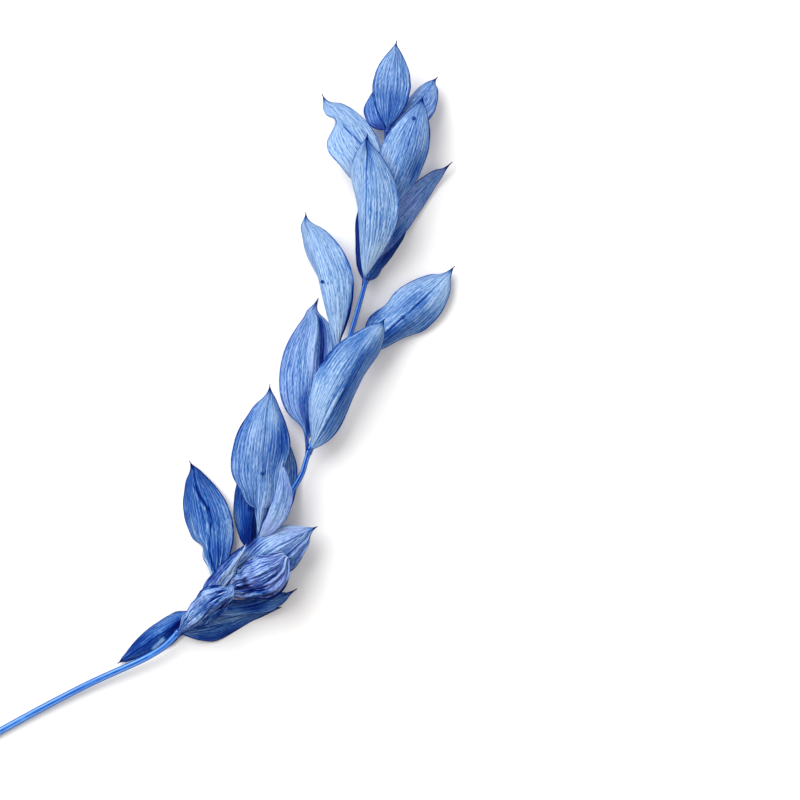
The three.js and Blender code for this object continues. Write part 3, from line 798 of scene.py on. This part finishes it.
# %% Patches
# Broad hollows and swellings: the middle as shares of the half and of the length, the reach in
# the same shares, and what it adds to the tone. That tone is partly the dye and partly painted
# light and shade, among it a painted shadow band across tip_middle. A pale patch swells and a
# dark one is hollow.
DYE_LIGHT_AND_SHADE_PATCHES = {
    "first_bent_back": [
        (0.5, 0.75, 0.6, 0.2, -0.9), (-0.3, 0.22, 0.6, 0.16, -1.3), (0.4, 0.55, 0.3, 0.08, 0.4),
    ],
    "first_crumpled": [
        (0.6, 0.4, 0.35, 0.3, -0.6), (0.55, 0.7, 0.35, 0.08, -1.3), (-0.75, 0.72, 0.4, 0.1, -1.0),
        (0.15, 0.86, 0.22, 0.12, 1.2), (-0.3, 0.26, 0.45, 0.07, 1.1),
    ],
    "first_right": [(0.9, 0.42, 0.4, 0.3, -1.1), (0.0, 0.5, 0.2, 0.15, 0.6), (0.3, 0.2, 0.5, 0.12, -0.3)],
    "fourth_left": [
        (0.2, 0.16, 0.45, 0.12, -1.5), (0.45, 0.5, 0.2, 0.15, -0.5), (0.85, 0.65, 0.12, 0.08, 0.6),
        (-0.05, 0.68, 0.12, 0.2, 0.8), (-0.5, 0.93, 0.5, 0.06, 0.6), (-0.15, 0.32, 0.2, 0.1, -0.9),
    ],
    "fourth_top": [
        (-0.6, 0.8, 0.4, 0.12, -0.65), (-0.55, 0.33, 0.35, 0.2, 0.75), (0.0, 0.52, 0.2, 0.15, -0.65),
        (0.25, 0.93, 0.5, 0.07, 0.9), (0.4, 0.02, 0.6, 0.08, 0.6), (0.3, 0.35, 0.3, 0.15, -0.4),
        (-0.88, 0.58, 0.25, 0.1, -0.8), (0.0, 0.69, 0.35, 0.1, -0.5),
    ],
    "second_crumpled": [
        (-0.8, 0.45, 0.3, 0.2, 0.5), (0.0, 0.95, 0.8, 0.07, 1.0), (0.3, 0.45, 0.2, 0.15, -0.7),
        (0.8, 0.3, 0.3, 0.12, -1.0), (0.85, 0.68, 0.2, 0.12, 0.9), (-0.1, 0.37, 0.6, 0.04, -1.4),
        (-0.65, 0.56, 0.35, 0.07, 1.0), (-0.3, 0.45, 0.4, 0.03, 0.9),
    ],
    "second_left": [
        (0.0, 0.7, 0.8, 0.12, -0.4), (0.85, 0.48, 0.25, 0.14, 0.9), (0.25, 0.25, 0.4, 0.1, -0.6),
        (-0.5, 0.45, 0.3, 0.1, 0.4),
    ],
    "second_long": [
        (-0.8, 0.75, 0.3, 0.14, 2.3), (-0.35, 0.6, 0.3, 0.15, 0.6), (-0.85, 0.46, 0.25, 0.06, -1.3),
        (0.4, 0.82, 0.35, 0.1, 0.9),
    ],
    "second_right": [
        (0.65, 0.33, 0.35, 0.12, 1.0), (0.25, 0.55, 0.4, 0.12, -1.1), (-0.2, 0.78, 0.3, 0.1, 0.7),
    ],
    "seventh_right": [
        (-0.65, 0.48, 0.35, 0.12, 1.0), (0.6, 0.78, 0.4, 0.12, 0.6), (0.65, 0.48, 0.35, 0.12, -0.6),
        (-0.8, 0.76, 0.25, 0.08, 0.9),
    ],
    "sixth_right_under": [(0.1, 0.4, 0.25, 0.12, -0.6), (0.7, 0.2, 0.3, 0.12, 0.4)],
    "sixth_top": [
        (0.2, 0.92, 0.45, 0.07, -1.3), (0.6, 0.16, 0.45, 0.13, 0.9), (0.2, 0.77, 0.15, 0.08, -0.6),
        (-0.7, 0.68, 0.35, 0.15, 0.5), (-0.15, 0.18, 0.2, 0.1, -0.5),
    ],
    "third_broad": [
        (0.25, 0.1, 0.45, 0.14, 1.6), (0.3, 0.31, 0.3, 0.1, 1.0), (0.35, 0.82, 0.35, 0.12, 1.0),
        (0.65, 0.6, 0.25, 0.1, -0.6), (-0.45, 0.2, 0.35, 0.1, -1.0), (-0.4, 0.7, 0.3, 0.15, 0.4),
        (-0.88, 0.7, 0.22, 0.12, -0.8), (0.85, 0.46, 0.2, 0.08, 1.0), (0.88, 0.75, 0.2, 0.08, -0.7),
    ],
    "sixth_right": [(0.4, 0.3, 0.5, 0.1, -0.8)],
    "seventh_left": [(-0.8, 0.4, 0.35, 0.12, 0.6), (0.85, 0.45, 0.25, 0.12, 0.4)],
    "third_left_under": [(-0.75, 0.3, 0.35, 0.1, 0.9)],
    "third_pale": [(0.6, 0.25, 0.5, 0.15, 0.8), (0.4, 0.72, 0.4, 0.1, -0.5)],
    "fifth_left": [(0.88, 0.6, 0.25, 0.08, -0.8), (0.4, 0.16, 0.3, 0.1, 0.8), (-0.3, 0.86, 0.4, 0.08, 0.5)],
    "fifth_right": [
        (0.2, 0.35, 0.4, 0.13, -0.9), (0.4, 0.86, 0.6, 0.12, 1.1), (-0.8, 0.34, 0.25, 0.1, -0.9),
        (-0.9, 0.62, 0.2, 0.15, 0.5), (-0.2, 0.64, 0.3, 0.12, -0.7), (0.7, 0.62, 0.35, 0.08, -0.5),
    ],
    "tip_middle": [(0.0, 0.36, 1.2, 0.09, -0.7), (-0.6, 0.7, 0.35, 0.12, 0.6), (0.8, 0.65, 0.2, 0.1, 0.4)],
    "tip_right": [(-0.8, 0.65, 0.4, 0.15, 0.5), (0.3, 0.8, 0.4, 0.1, 0.7)],
}
PATCH_RELIEF = 0.5
print("patches", sum(map(len, DYE_LIGHT_AND_SHADE_PATCHES.values())), "and creases", sum(map(len, CREASES.values())))

# %% Knob places
# Where each flower knob sits, as shares of the half and of the length.
KNOBS = {
    "third_broad": (0, 0.43),
    "fourth_top": (0, 0.49),
    "fifth_left": (0.04, 0.54),
    "fifth_right": (0, 0.51),
    "seventh_right": (-0.2, 0.83),
}

# %% [markdown]
# ## A blade's sheet
# The midrib is a cubic curve from inside the stem's side to the point. At each row the blade's
# slopes are summed outward from the midrib, which gives a folded or rolled half the true width
# along its surface. The formula is the one that the CAD uses, with more rows and columns. Here
# the margin also wanders a little, as a grown one does, and the point is drawn in to a spine.

# %% Midrib and width
ROOT_OFFSET = 0.5
STALK_HALF = 0.9
TIP_HALF = 0.2
TIP_TAPER = 0.07
SWELL_FADE = 12
SPINE_START = 0.925
SPINE_FULL = 0.975
SPINE_SHARE = 0.75


def through(values, t):
    start, middle, end = values
    return start * (1 - t) * (1 - 2 * t) + 4 * middle * t * (1 - t) + end * t * (2 * t - 1)


def midrib(blade, t):
    """Points of the midrib, and unit vectors along it."""
    core, along = (part[0] for part in stem_at([blade["at"]]))
    tip = np.array(blade["tip"], float)
    away = tip - core
    away[2] = blade["rise"][0] - core[2]
    away = unit(away - along * (away @ along))
    root = core + away * ROOT_OFFSET * stem_radius(blade["at"]) * (1 + WHORL_SWELLING)
    chord = tip - root
    left = unit(np.array([-chord[1], chord[0], 0.0]))
    handles = []
    for share, bow, rise in zip((1 / 3, 2 / 3), blade["bow"], blade["rise"]):
        handle = root + chord * share + left * bow
        handle[2] = rise
        handles.append(handle)
    s = t[:, None]
    first, second = handles
    points = root * (1 - s) ** 3 + 3 * first * s * (1 - s) ** 2
    points = points + 3 * second * s**2 * (1 - s) + tip * s**3
    slope = (first - root) * (1 - s) ** 2 + 2 * (second - first) * s * (1 - s)
    return points, unit(slope + (tip - second) * s**2)


def half_width(blade, sign, t):
    """Half of the width on one side: the outline with its swells, the stalk and the spine."""
    base, point = blade["full"]
    s = np.clip((t - blade["neck"]) / (1 - blade["neck"]), 0, 1)
    widest = base / (base + point)
    beyond = 1 - widest
    outline = (s / widest) ** base * ((1 - s) / beyond) ** point
    spine = (1 - s) / (1 - s + TIP_TAPER) * (beyond + TIP_TAPER) / beyond
    width = blade["half"] * outline * spine
    free = np.minimum(SWELL_FADE * t * (1 - t), 1)
    for side, place, height, reach in blade["swells"]:
        if side == sign:
            width = width + height * np.exp(-(((t - place) / reach) ** 2)) * free
    stalk = np.interp(t, [0, 0.5, 1], [STALK_HALF, STALK_HALF, TIP_HALF])
    pinch = 1 - (1 - SPINE_SHARE) * smooth_step(t, SPINE_START, SPINE_FULL)
    return np.hypot(np.maximum(width, 0), stalk) * pinch


# %% Smooth noise
def lattice_noise(x, y, cells, random):
    """Smooth noise from -1 to 1, for x and y from 0 to 1, between random heights on a grid."""
    heights = random.uniform(-1, 1, (cells[0] + 2, cells[1] + 2))
    x = x * cells[0]
    y = y * cells[1]
    i = np.floor(x).astype(int)
    j = np.floor(y).astype(int)
    across = smooth_step(x - i, 0, 1)
    along = smooth_step(y - j, 0, 1)
    near = heights[i, j] * (1 - across) + heights[i + 1, j] * across
    far = heights[i, j + 1] * (1 - across) + heights[i + 1, j + 1] * across
    return near * (1 - along) + far * along


# %% Blade grid
ROWS = 105
ROW_CROWDING = 0.05
CELLS = 60
# The cells whose outer sides become columns, closer together at the margin.
COLUMN_CELLS = np.array([*range(2, CELLS - 1, 2), CELLS - 1, CELLS])
COLUMNS = 2 * len(COLUMN_CELLS) + 1
SHARES = np.concatenate([-COLUMN_CELLS[::-1], [0], COLUMN_CELLS]) / CELLS
EVEN = np.linspace(0, 1, ROWS)
PLACES = EVEN - ROW_CROWDING * np.sin(2 * np.pi * EVEN)
ACROSS, ALONG = np.meshgrid(SHARES, PLACES)
FROM_LEFT = (ACROSS + 1) / 2
print("blade grid", ROWS, "rows of", COLUMNS, "points")

# %% Blade halves
FOLD_AT_MIDRIB = 0.35
FOLD_REACH = 0.4
RIPPLES_LEAST = 1.5
RUN_SPACING = 7919
RUN_FACTOR = 16807
RUN_MODULUS = 2147483647


def random_run(seed):
    """The repeatable run of numbers that the CAD draws its ripples from."""
    state = seed * RUN_SPACING + 1
    while True:
        state = state * RUN_FACTOR % RUN_MODULUS
        yield state / RUN_MODULUS


def blade_half(blade, sign, curl, ripple_draws, wander):
    """One half as steps outward and downward from the midrib, the ripple and the width."""
    phase, more_beats = ripple_draws
    left = np.radians(through(blade["left"], PLACES))[:, None]
    right = np.radians(through(blade["right"], PLACES))[:, None]
    u = (np.arange(CELLS) + 0.5) / CELLS
    spread = FOLD_AT_MIDRIB + (1 - FOLD_AT_MIDRIB) * np.minimum(u / FOLD_REACH, 1)
    angle = sign * (left - right) / 2 + (left + right) / 2 * spread + math.radians(curl) * (u - 0.5)
    width = (half_width(blade, sign, PLACES) + wander)[:, None]
    out = np.cumsum(np.cos(angle), axis=1)[:, COLUMN_CELLS - 1] * width / CELLS
    down = np.cumsum(np.sin(angle), axis=1)[:, COLUMN_CELLS - 1] * width / CELLS
    swing = np.sin(2 * np.pi * ((RIPPLES_LEAST + more_beats) * PLACES + phase))
    swing = swing * 4 * PLACES * (1 - PLACES)
    ripple = blade["wave"] * (COLUMN_CELLS / CELLS) ** 2 * swing[:, None]
    return sign * out, ripple - down, width


# %% Blade sheet
HOOK_PLACE = 0.93
HOOK_REACH = 0.045
EDGE_WANDER = 0.16
CRUMPLED_WANDER = 1.3
EDGE_BEATS = 14
EDGE_FADE = 10
LOWEST_MIDDLE = 0.22
CONTACT_SOFTNESS = 1.4


def hooked_midrib(blade, look):
    """The midrib with its hook, and unit vectors along the midrib without it."""
    points, along = midrib(blade, PLACES)
    bend = np.exp(-(((PLACES - HOOK_PLACE) / HOOK_REACH) ** 2))
    return points - bend[:, None] * np.array([*look["hook"], 0]), along


def edge_wander(look, random):
    """How far one margin wanders outward at each row, in mm, and more on crumpled blades."""
    wander = lattice_noise(PLACES, 0 * PLACES, (EDGE_BEATS, 1), random)
    wander = wander * np.minimum(EDGE_FADE * PLACES * (1 - PLACES), 1)
    return wander * (EDGE_WANDER + CRUMPLED_WANDER * look["crumple"] ** 2)


def rest_on_surface(sheet):
    """Lift what would lie under the surface, and ease what comes near it."""
    over = sheet[..., 2] - LOWEST_MIDDLE
    sheet[..., 2] = LOWEST_MIDDLE + (over + np.hypot(over, CONTACT_SOFTNESS)) / 2


def blade_sheet(blade, index, look, random):
    """The middle sheet, from its left margin to its right one, and the half width at each point."""
    points, along = hooked_midrib(blade, look)
    side, up = cross_frame(along)
    draws = random_run(index + 1)
    halves = []
    widths = []
    for sign, curl in zip((1, -1), blade["curl"]):
        wander = edge_wander(look, random)
        out, rise, width = blade_half(blade, sign, curl, (next(draws), next(draws)), wander)
        half = points[:, None] + side[:, None] * out[..., None] + up[:, None] * rise[..., None]
        halves.append(half)
        widths.append(np.broadcast_to(width, (ROWS, len(COLUMN_CELLS))))
    sheet = np.concatenate([halves[0][:, ::-1], points[:, None], halves[1]], axis=1)
    rest_on_surface(sheet)
    middle = (widths[0][:, :1] + widths[1][:, :1]) / 2
    return sheet, np.hstack([widths[0], middle, widths[1]])


# %% [markdown]
# ## Creases, ribs and crinkles
# Drying pulls a blade into shape: broad swells, strong ribs fanning from the base, a groove
# along the midrib, fine crinkles between the veins, sharp pleats in the crumpled blades, and
# here and there one long crease. A bump in the material would vanish from the side and from the
# exported mesh, so they are real relief, raised along the sheet's own normals. Most of it comes
# from smooth noise that is stretched along the veins. Relief goes with painted light and shade
# in the tone: what stands up is painted paler and what lies deep is painted darker.

# %% Creases and patches on the sheet
CREASE_ENDS = (-0.1, 0.15)


def sheet_normals(sheet):
    rightward = np.gradient(sheet, axis=1)
    forward = np.gradient(sheet, axis=0)
    return unit(np.cross(rightward, forward))


def crease_profile(crease, width):
    """From 0 to 1, how near each point is to a crease, faded at the crease's ends."""
    (u0, t0), (u1, t1), reach = crease[:3]
    share = (ALONG - t0) / (t1 - t0)
    line = u0 + (u1 - u0) * np.clip(share, 0, 1)
    free = smooth_step(share, *CREASE_ENDS) * smooth_step(1 - share, *CREASE_ENDS)
    return np.exp(-(((ACROSS - line) * width / reach) ** 2)) * free


def patches(name):
    """The tone that the patches add, partly dye and partly painted light and shade, whose relief is in
    proportion.
    """
    tone = np.zeros((ROWS, COLUMNS))
    for u, t, across, along, amount in DYE_LIGHT_AND_SHADE_PATCHES.get(name, []):
        tone += amount * np.exp(-(((ACROSS - u) / across) ** 2) - ((ALONG - t) / along) ** 2)
    return tone


# %% Pleats and ribs
PLEAT_CELLS = [(7, 2), (15, 3), (30, 4)]
PLEAT_SHARES = [0.8, -0.8, 0.8]
RIBS_PER_HALF = 5
RIBBED_HALF = 15.5
RIB_LEAST = 0.05
RIB_REACH = 0.22
DRIFT_CELLS = (3, 3)
RIB_DRIFT = 0.35


def pleats(random):
    """Sharp crests and sharp valleys that run along the blade, in three sizes."""
    height = np.zeros((ROWS, COLUMNS))
    for cells, share in zip(PLEAT_CELLS, PLEAT_SHARES):
        height += share * (0.5 - np.abs(lattice_noise(FROM_LEFT, ALONG, cells, random)))
    return height


def fanned_ribs(blade, random):
    """Ribs that fan from the base and fade along the blade, strongest on the broadest blades."""
    drift = RIB_DRIFT * lattice_noise(FROM_LEFT, ALONG, DRIFT_CELLS, random)
    fading = RIB_LEAST + np.exp(-ALONG / RIB_REACH)
    ribs = np.cos(2 * np.pi * (RIBS_PER_HALF * ACROSS + drift)) * fading
    return ribs * (blade["half"] / RIBBED_HALF) ** 2


# %% Tone and relief
# Each form's height in mm, and the painted light and shade that the pleats and the ribs add to
# the tone, paler on their crests and darker in their valleys.
BROAD_CELLS = (3, 5)
BROAD_SWELL = 0.6
CRINKLES_PER_MM = 1.7
CRINKLES_ALONG = 12
CRINKLE = 0.06
PLEAT_HEIGHT = 2.0
PLEAT_LIGHT_AND_SHADE = 2.3
RIB_HEIGHT = 0.3
RIB_LIGHT_AND_SHADE = 0.9
MIDRIB_GROOVE = 0.2
GROOVE_REACH = 0.5
SPINE_DARK = 0.9
# The bands, as shares of the half or of the length, over which one thing fades to another.
MIDDLE_BAND = (-0.12, 0.12)
BASE_BAND = (0.05, 0.4)
POINT_BAND = (0.65, 0.95)
STALK_BAND = (0.03, 0.2)
TIP_BAND = (0.0, 0.12)


def blade_tone(look, patch, pleat, ribs):
    """How pale each point is, from its half and its ends, partly painted light and shade, and its relief,
    painted light and shade.
    """
    left, right = look["tone"]
    base, point = look["ends"]
    tone = left + (right - left) * smooth_step(ACROSS, *MIDDLE_BAND)
    tone = tone + base * (1 - smooth_step(ALONG, *BASE_BAND)) + point * smooth_step(ALONG, *POINT_BAND)
    tone = tone + patch + PLEAT_LIGHT_AND_SHADE * pleat + RIB_LIGHT_AND_SHADE * ribs
    return tone - SPINE_DARK * smooth_step(ALONG, SPINE_START, SPINE_FULL)


def blade_forms(blade, look, width, random):
    """How far each point is raised along the sheet's normal, in mm, and how pale it is."""
    crinkle_cells = (int(blade["half"] * CRINKLES_PER_MM), CRINKLES_ALONG)
    swell = lattice_noise(FROM_LEFT, ALONG, BROAD_CELLS, random)
    crinkle = lattice_noise(FROM_LEFT, ALONG, crinkle_cells, random)
    pleat = look["crumple"] * pleats(random)
    ribs = fanned_ribs(blade, random)
    patch = patches(blade["name"])
    raised = BROAD_SWELL * swell + CRINKLE * crinkle + PLEAT_HEIGHT * pleat
    raised = raised + RIB_HEIGHT * ribs + PATCH_RELIEF * patch
    tone = blade_tone(look, patch, pleat, ribs)
    # Each crease adds painted shade along a groove and painted light along a raised crease.
    for crease in CREASES.get(blade["name"], []):
        profile = crease_profile(crease, width)
        raised = raised + crease[3] * profile
        tone = tone + crease[4] * profile
    free = smooth_step(ALONG, *STALK_BAND) * smooth_step(1 - ALONG, *TIP_BAND)
    groove = np.exp(-((ACROSS * width / GROOVE_REACH) ** 2))
    return raised * free - MIDRIB_GROOVE * groove, tone


# %% [markdown]
# ## A blade's thickness
# A blade is about a third of a millimetre thick, thicker under the midrib and down at its
# stalk, and it thins out at the margin. A solidify modifier would need a weight at every point
# for that, so the thickness is worked out at each point instead. The two faces and the rim
# between them make one closed skin, and the blade has a true edge from every side.

# %% Blade faces
def sheet_faces(rows, columns):
    """The upper face, the lower face and the rim of a closed sheet."""
    faces = []
    count = rows * columns
    for row in range(rows - 1):
        for column in range(columns - 1):
            near = row * columns + column
            far = near + columns
            faces.append((near, near + 1, far + 1, far))
            faces.append((near + count, far + count, far + 1 + count, near + 1 + count))
    rim = [*range(columns)]
    rim += [row * columns + columns - 1 for row in range(1, rows)]
    rim += [(rows - 1) * columns + column for column in range(columns - 2, -1, -1)]
    rim += [row * columns for row in range(rows - 2, 0, -1)]
    for here, beside in zip(rim, rim[1:] + rim[:1]):
        faces.append((beside, here, here + count, beside + count))
    return faces


BLADE_FACES = sheet_faces(ROWS, COLUMNS)
print("faces of a blade", len(BLADE_FACES))

# %% Blade thickness
THICKNESS = 0.34
MARGIN_SHARE = 0.5
MARGIN_REACH = 0.5
MIDRIB_THICKENING = 0.3
MIDRIB_REACH = 0.6
STALK_THICKENING = 0.55
STALK_REACH = 5


def blade_thickness(middle, margin, run):
    """Thickness in mm, from the distances to the midrib, to the margin and to the base."""
    edge = MARGIN_SHARE + (1 - MARGIN_SHARE) * smooth_step(margin, 0, MARGIN_REACH)
    thickness = THICKNESS * edge + MIDRIB_THICKENING * np.exp(-((middle / MIDRIB_REACH) ** 2))
    return thickness + STALK_THICKENING * np.exp(-((run / STALK_REACH) ** 2))


def closed_skin(sheet, normals, thickness):
    upper = sheet + normals * (thickness / 2)[..., None]
    lower = sheet - normals * (thickness / 2)[..., None]
    points = np.concatenate([upper.reshape(-1, 3), lower.reshape(-1, 3)])
    points[:, 2] = np.maximum(points[:, 2], LOWEST_POINT)
    return points


# %% Blade pieces
FIRST_SEED = 100
SEED_SPACING = 20.0


def build_blade(blade, index):
    look = PLAIN_LOOK | LOOKS[blade["name"]]
    random = np.random.default_rng(FIRST_SEED + index)
    sheet, width = blade_sheet(blade, index, look, random)
    raised, tone = blade_forms(blade, look, width, random)
    sheet = sheet + sheet_normals(sheet) * raised[..., None]
    normals = sheet_normals(sheet)
    length = np.linalg.norm(np.diff(sheet[:, COLUMNS // 2], axis=0), axis=1).sum()
    spread = np.ones((ROWS, COLUMNS))
    values = {
        "lane": ACROSS * blade["half"],
        "run": ALONG * length,
        "middle": np.abs(ACROSS) * width,
        "margin": (1 - np.abs(ACROSS)) * width,
        "tone": tone,
        "lilac": spread * look["lilac"],
        "crumple": spread * look["crumple"],
        "seed": spread * SEED_SPACING * index,
    }
    thickness = blade_thickness(values["middle"], values["margin"], values["run"])
    points = closed_skin(sheet, normals, thickness)
    values = {key: np.tile(numbers.ravel(), 2) for key, numbers in values.items()}
    place_piece("blade_" + blade["name"], points, BLADE_FACES, blade_material, values)
    return sheet, normals


built = {blade["name"]: build_blade(blade, index) for index, blade in enumerate(BLADES)}
print("blades", len(built))

# %% [markdown]
# ## Flower knobs
# The flowers of this plant sit on the blade itself, near the middle of the midrib. Dried, each
# is a dark knob the size of a pinhead with a few withered points round it. At this size a lumpy
# ball with thin spikes is enough. It stands on the blade's own normal, so that it leans with it.

# %% Knob ball
KNOB_RADIUS = 0.9
KNOB_LUMPS = (0.88, 1.12)
KNOB_RINGS = 9
KNOB_SIDES = 12


def knob_ball(random):
    """A closed, slightly lumpy ball round the origin."""
    tilt = np.linspace(0, np.pi, KNOB_RINGS)[1:-1, None]
    turn = np.linspace(0, 2 * np.pi, KNOB_SIDES, endpoint=False)
    lumps = KNOB_RADIUS * random.uniform(*KNOB_LUMPS, (KNOB_RINGS - 2, KNOB_SIDES))
    level = lumps * np.sin(tilt)
    rings = np.stack([level * np.cos(turn), level * np.sin(turn), -lumps * np.cos(tilt)], axis=2)
    ends = [[0, 0, -KNOB_RADIUS], [0, 0, KNOB_RADIUS]]
    points = np.vstack([rings.reshape(-1, 3), ends])
    faces = ring_faces(KNOB_RINGS - 2, KNOB_SIDES)
    bottom = len(points) - 2
    top = len(points) - 1
    last = bottom - KNOB_SIDES
    for side in range(KNOB_SIDES):
        beside = (side + 1) % KNOB_SIDES
        faces.append((beside, side, bottom))
        faces.append((last + side, last + beside, top))
    return points, faces


# %% Knob points
POINT_ROOT = 0.5
POINT_LENGTH = 1.3
POINT_WIDE = 0.26
POINT_THICK = 0.09


def knob_point(turn, lean):
    """A small closed four-sided spike from the ball's side, leaning outward."""
    out = np.array([math.cos(turn), math.sin(turn), 0.0])
    beside = np.array([-out[1], out[0], 0.0]) * POINT_WIDE
    above = UP * POINT_THICK
    root = out * KNOB_RADIUS * POINT_ROOT
    tip = root + (out * math.cos(lean) + UP * math.sin(lean)) * POINT_LENGTH
    corners = [root + beside, root + above, root - beside, root - above]
    faces = [(0, 1, 4), (1, 2, 4), (2, 3, 4), (3, 0, 4), (3, 2, 1, 0)]
    return np.vstack([corners, [tip]]), faces


# %% Knobs
KNOB_POINTS = 4
KNOB_SEED = 7
KNOB_LIFT = 0.55
TURN_SPREAD = 0.4
LEAN_LIMITS = (0.1, 0.8)


def knob_shape(random):
    """The ball and its points, as one set of points and faces."""
    points, faces = knob_ball(random)
    for turn in np.linspace(0, 2 * np.pi, KNOB_POINTS, endpoint=False):
        turn = turn + random.uniform(-TURN_SPREAD, TURN_SPREAD)
        more, more_faces = knob_point(turn, random.uniform(*LEAN_LIMITS))
        faces += [tuple(corner + len(points) for corner in face) for face in more_faces]
        points = np.vstack([points, more])
    return points, faces


def build_knob(name, random):
    sheet, normals = built[name]
    across, share = KNOBS[name]
    row = int(np.abs(PLACES - share).argmin())
    column = int(np.abs(SHARES - across).argmin())
    normal = normals[row, column]
    along = unit(sheet[row + 1, column] - sheet[row - 1, column])
    axes = np.array([np.cross(along, normal), along, normal])
    place = sheet[row, column] + normal * (THICKNESS / 2 + KNOB_RADIUS * KNOB_LIFT)
    points, faces = knob_shape(random)
    return place_piece("knob_" + name, place + points @ axes, faces, knob_material)


knob_random = np.random.default_rng(KNOB_SEED)
for name in KNOBS:
    build_knob(name, knob_random)
print("knobs", len(KNOBS))

# %% [markdown]
# ## Scales at the whorls
# A small dry scale sits at the root of every blade. It hugs the stem with its broad base and
# leans out a little towards its point. It is a short curved sheet, wrapped round the stem's own
# radius and closed with the same faces and skin as a blade.

# %% Scales
SCALE_ROWS = 9
SCALE_COLUMNS = 7
SCALE_LENGTH = 4.2
LENGTH_LIMITS = (0.75, 1.15)
SCALE_START = -1.2
SCALE_HALF = 1.25
SCALE_TAPER = 0.8
SCALE_TIP_HALF = 0.08
SCALE_CLEARANCE = 0.1
SCALE_SPREAD = 0.9
SPREAD_LIMITS = (0.6, 1.6)
SCALE_THICKNESS = 0.12
SCALE_SEED = 11
OUTWARD_ROW = 8
SCALE_FACES = sheet_faces(SCALE_ROWS, SCALE_COLUMNS)


def scale_axes(blade):
    """The stem's centre at a blade's root, and the ways along the stem, out to the blade and aside."""
    core, along = (part[0] for part in stem_at([blade["at"]]))
    sheet, _ = built[blade["name"]]
    outward = unit(sheet[OUTWARD_ROW, COLUMNS // 2] - core)
    outward = unit(outward - along * (outward @ along))
    return core, along, outward, np.cross(along, outward)


def build_scale(blade, random):
    core, along, outward, side = scale_axes(blade)
    t = np.linspace(0, 1, SCALE_ROWS)[:, None]
    u = np.linspace(-1, 1, SCALE_COLUMNS)
    length = SCALE_LENGTH * random.uniform(*LENGTH_LIMITS)
    half = SCALE_HALF * (1 - t) ** SCALE_TAPER + SCALE_TIP_HALF
    radius = stem_radius(blade["at"]) * (1 + WHORL_SWELLING)
    reach = radius + SCALE_CLEARANCE + SCALE_SPREAD * t**1.5 * random.uniform(*SPREAD_LIMITS)
    turn = u * half / radius
    level = (reach * np.sin(turn))[..., None] * side
    lift = (reach * np.cos(turn))[..., None] * outward
    forward = (SCALE_START + length * t + 0 * u)[..., None] * along
    shape = core + level + lift + forward
    normals = sheet_normals(shape)
    facing = np.sign((normals * outward).sum(-1, keepdims=True))
    thickness = np.full((SCALE_ROWS, SCALE_COLUMNS), SCALE_THICKNESS)
    points = closed_skin(shape, normals * facing, thickness)
    return place_piece("scale_" + blade["name"], points, SCALE_FACES, scale_material)


scale_random = np.random.default_rng(SCALE_SEED)
for blade in BLADES:
    build_scale(blade, scale_random)
print("scales", len(BLADES))

# %% [markdown]
# ## Surface and light
# The stem lies on a plain white surface. A large soft light stands at the upper left, a weaker
# one is overhead and faint light comes from all round, so that the shadows are pale and fall to
# the lower right.

# %% Surface
FLOOR_SIDE = 4.0
FLOOR_WHITE = (0.86, 0.86, 0.87)
FLOOR_MOTTLES_PER_M = 90.0
FLOOR_ROUGHNESS = 0.75
FLOOR_GLOSS = 0.2


def build_floor():
    finish = Finish("white_surface")
    place = finish.add("TexCoord", {}, {}, output="Object")
    inputs = {"Vector": place, "Scale": FLOOR_MOTTLES_PER_M, "Detail": 2.0}
    mottle = finish.add("TexNoise", {}, inputs)
    skin = finish.add("BsdfPrincipled", {}, {
        "Base Color": (*FLOOR_WHITE, 1.0),
        "Roughness": FLOOR_ROUGHNESS + mottle * 0.1,
        "Specular IOR Level": FLOOR_GLOSS,
    })
    mesh = bpy.data.meshes.new("floor")
    reach = FLOOR_SIDE / 2
    corners = [(-reach, -reach, 0), (reach, -reach, 0), (reach, reach, 0), (-reach, reach, 0)]
    mesh.from_pydata(corners, [], [(0, 1, 2, 3)])
    mesh.materials.append(finish.close(skin))
    floor = bpy.data.objects.new("floor", mesh)
    floor.location = (*PICTURE_CENTRE, 0)
    bpy.context.scene.collection.objects.link(floor)


build_floor()
print("surface", FLOOR_SIDE, "m wide")

# %% Light
WINDOW = dict(place=(-0.85, 0.9, 1.5), size=1.6, power=46)
CEILING = dict(place=(0.5, -0.2, 2.2), size=2.2, power=9)
SKY_COLOUR = (1.0, 0.965, 0.91, 1.0)
SKY_STRENGTH = 0.56


def area_light(name, place, size, power):
    """A round soft light at a place counted from the picture's centre, aimed at that centre."""
    data = bpy.data.lights.new(name, "AREA")
    data.shape = "DISK"
    data.size = size
    data.energy = power
    light = bpy.data.objects.new(name, data)
    offset = np.array(place)
    light.location = np.array([*PICTURE_CENTRE, 0.0]) + offset
    aim = -unit(offset)
    light.rotation_euler = (math.acos(-aim[2]), 0, math.atan2(aim[1], aim[0]) - math.pi / 2)
    bpy.context.scene.collection.objects.link(light)


area_light("window", **WINDOW)
area_light("ceiling", **CEILING)
world = bpy.data.worlds.new("studio")
world.use_nodes = True
sky = world.node_tree.nodes["Background"]
sky.inputs["Color"].default_value = SKY_COLOUR
sky.inputs["Strength"].default_value = SKY_STRENGTH
bpy.context.scene.world = world
bpy.context.scene.view_settings.view_transform = "Standard"
print("lights of", WINDOW["power"], "and", CEILING["power"], "watts")
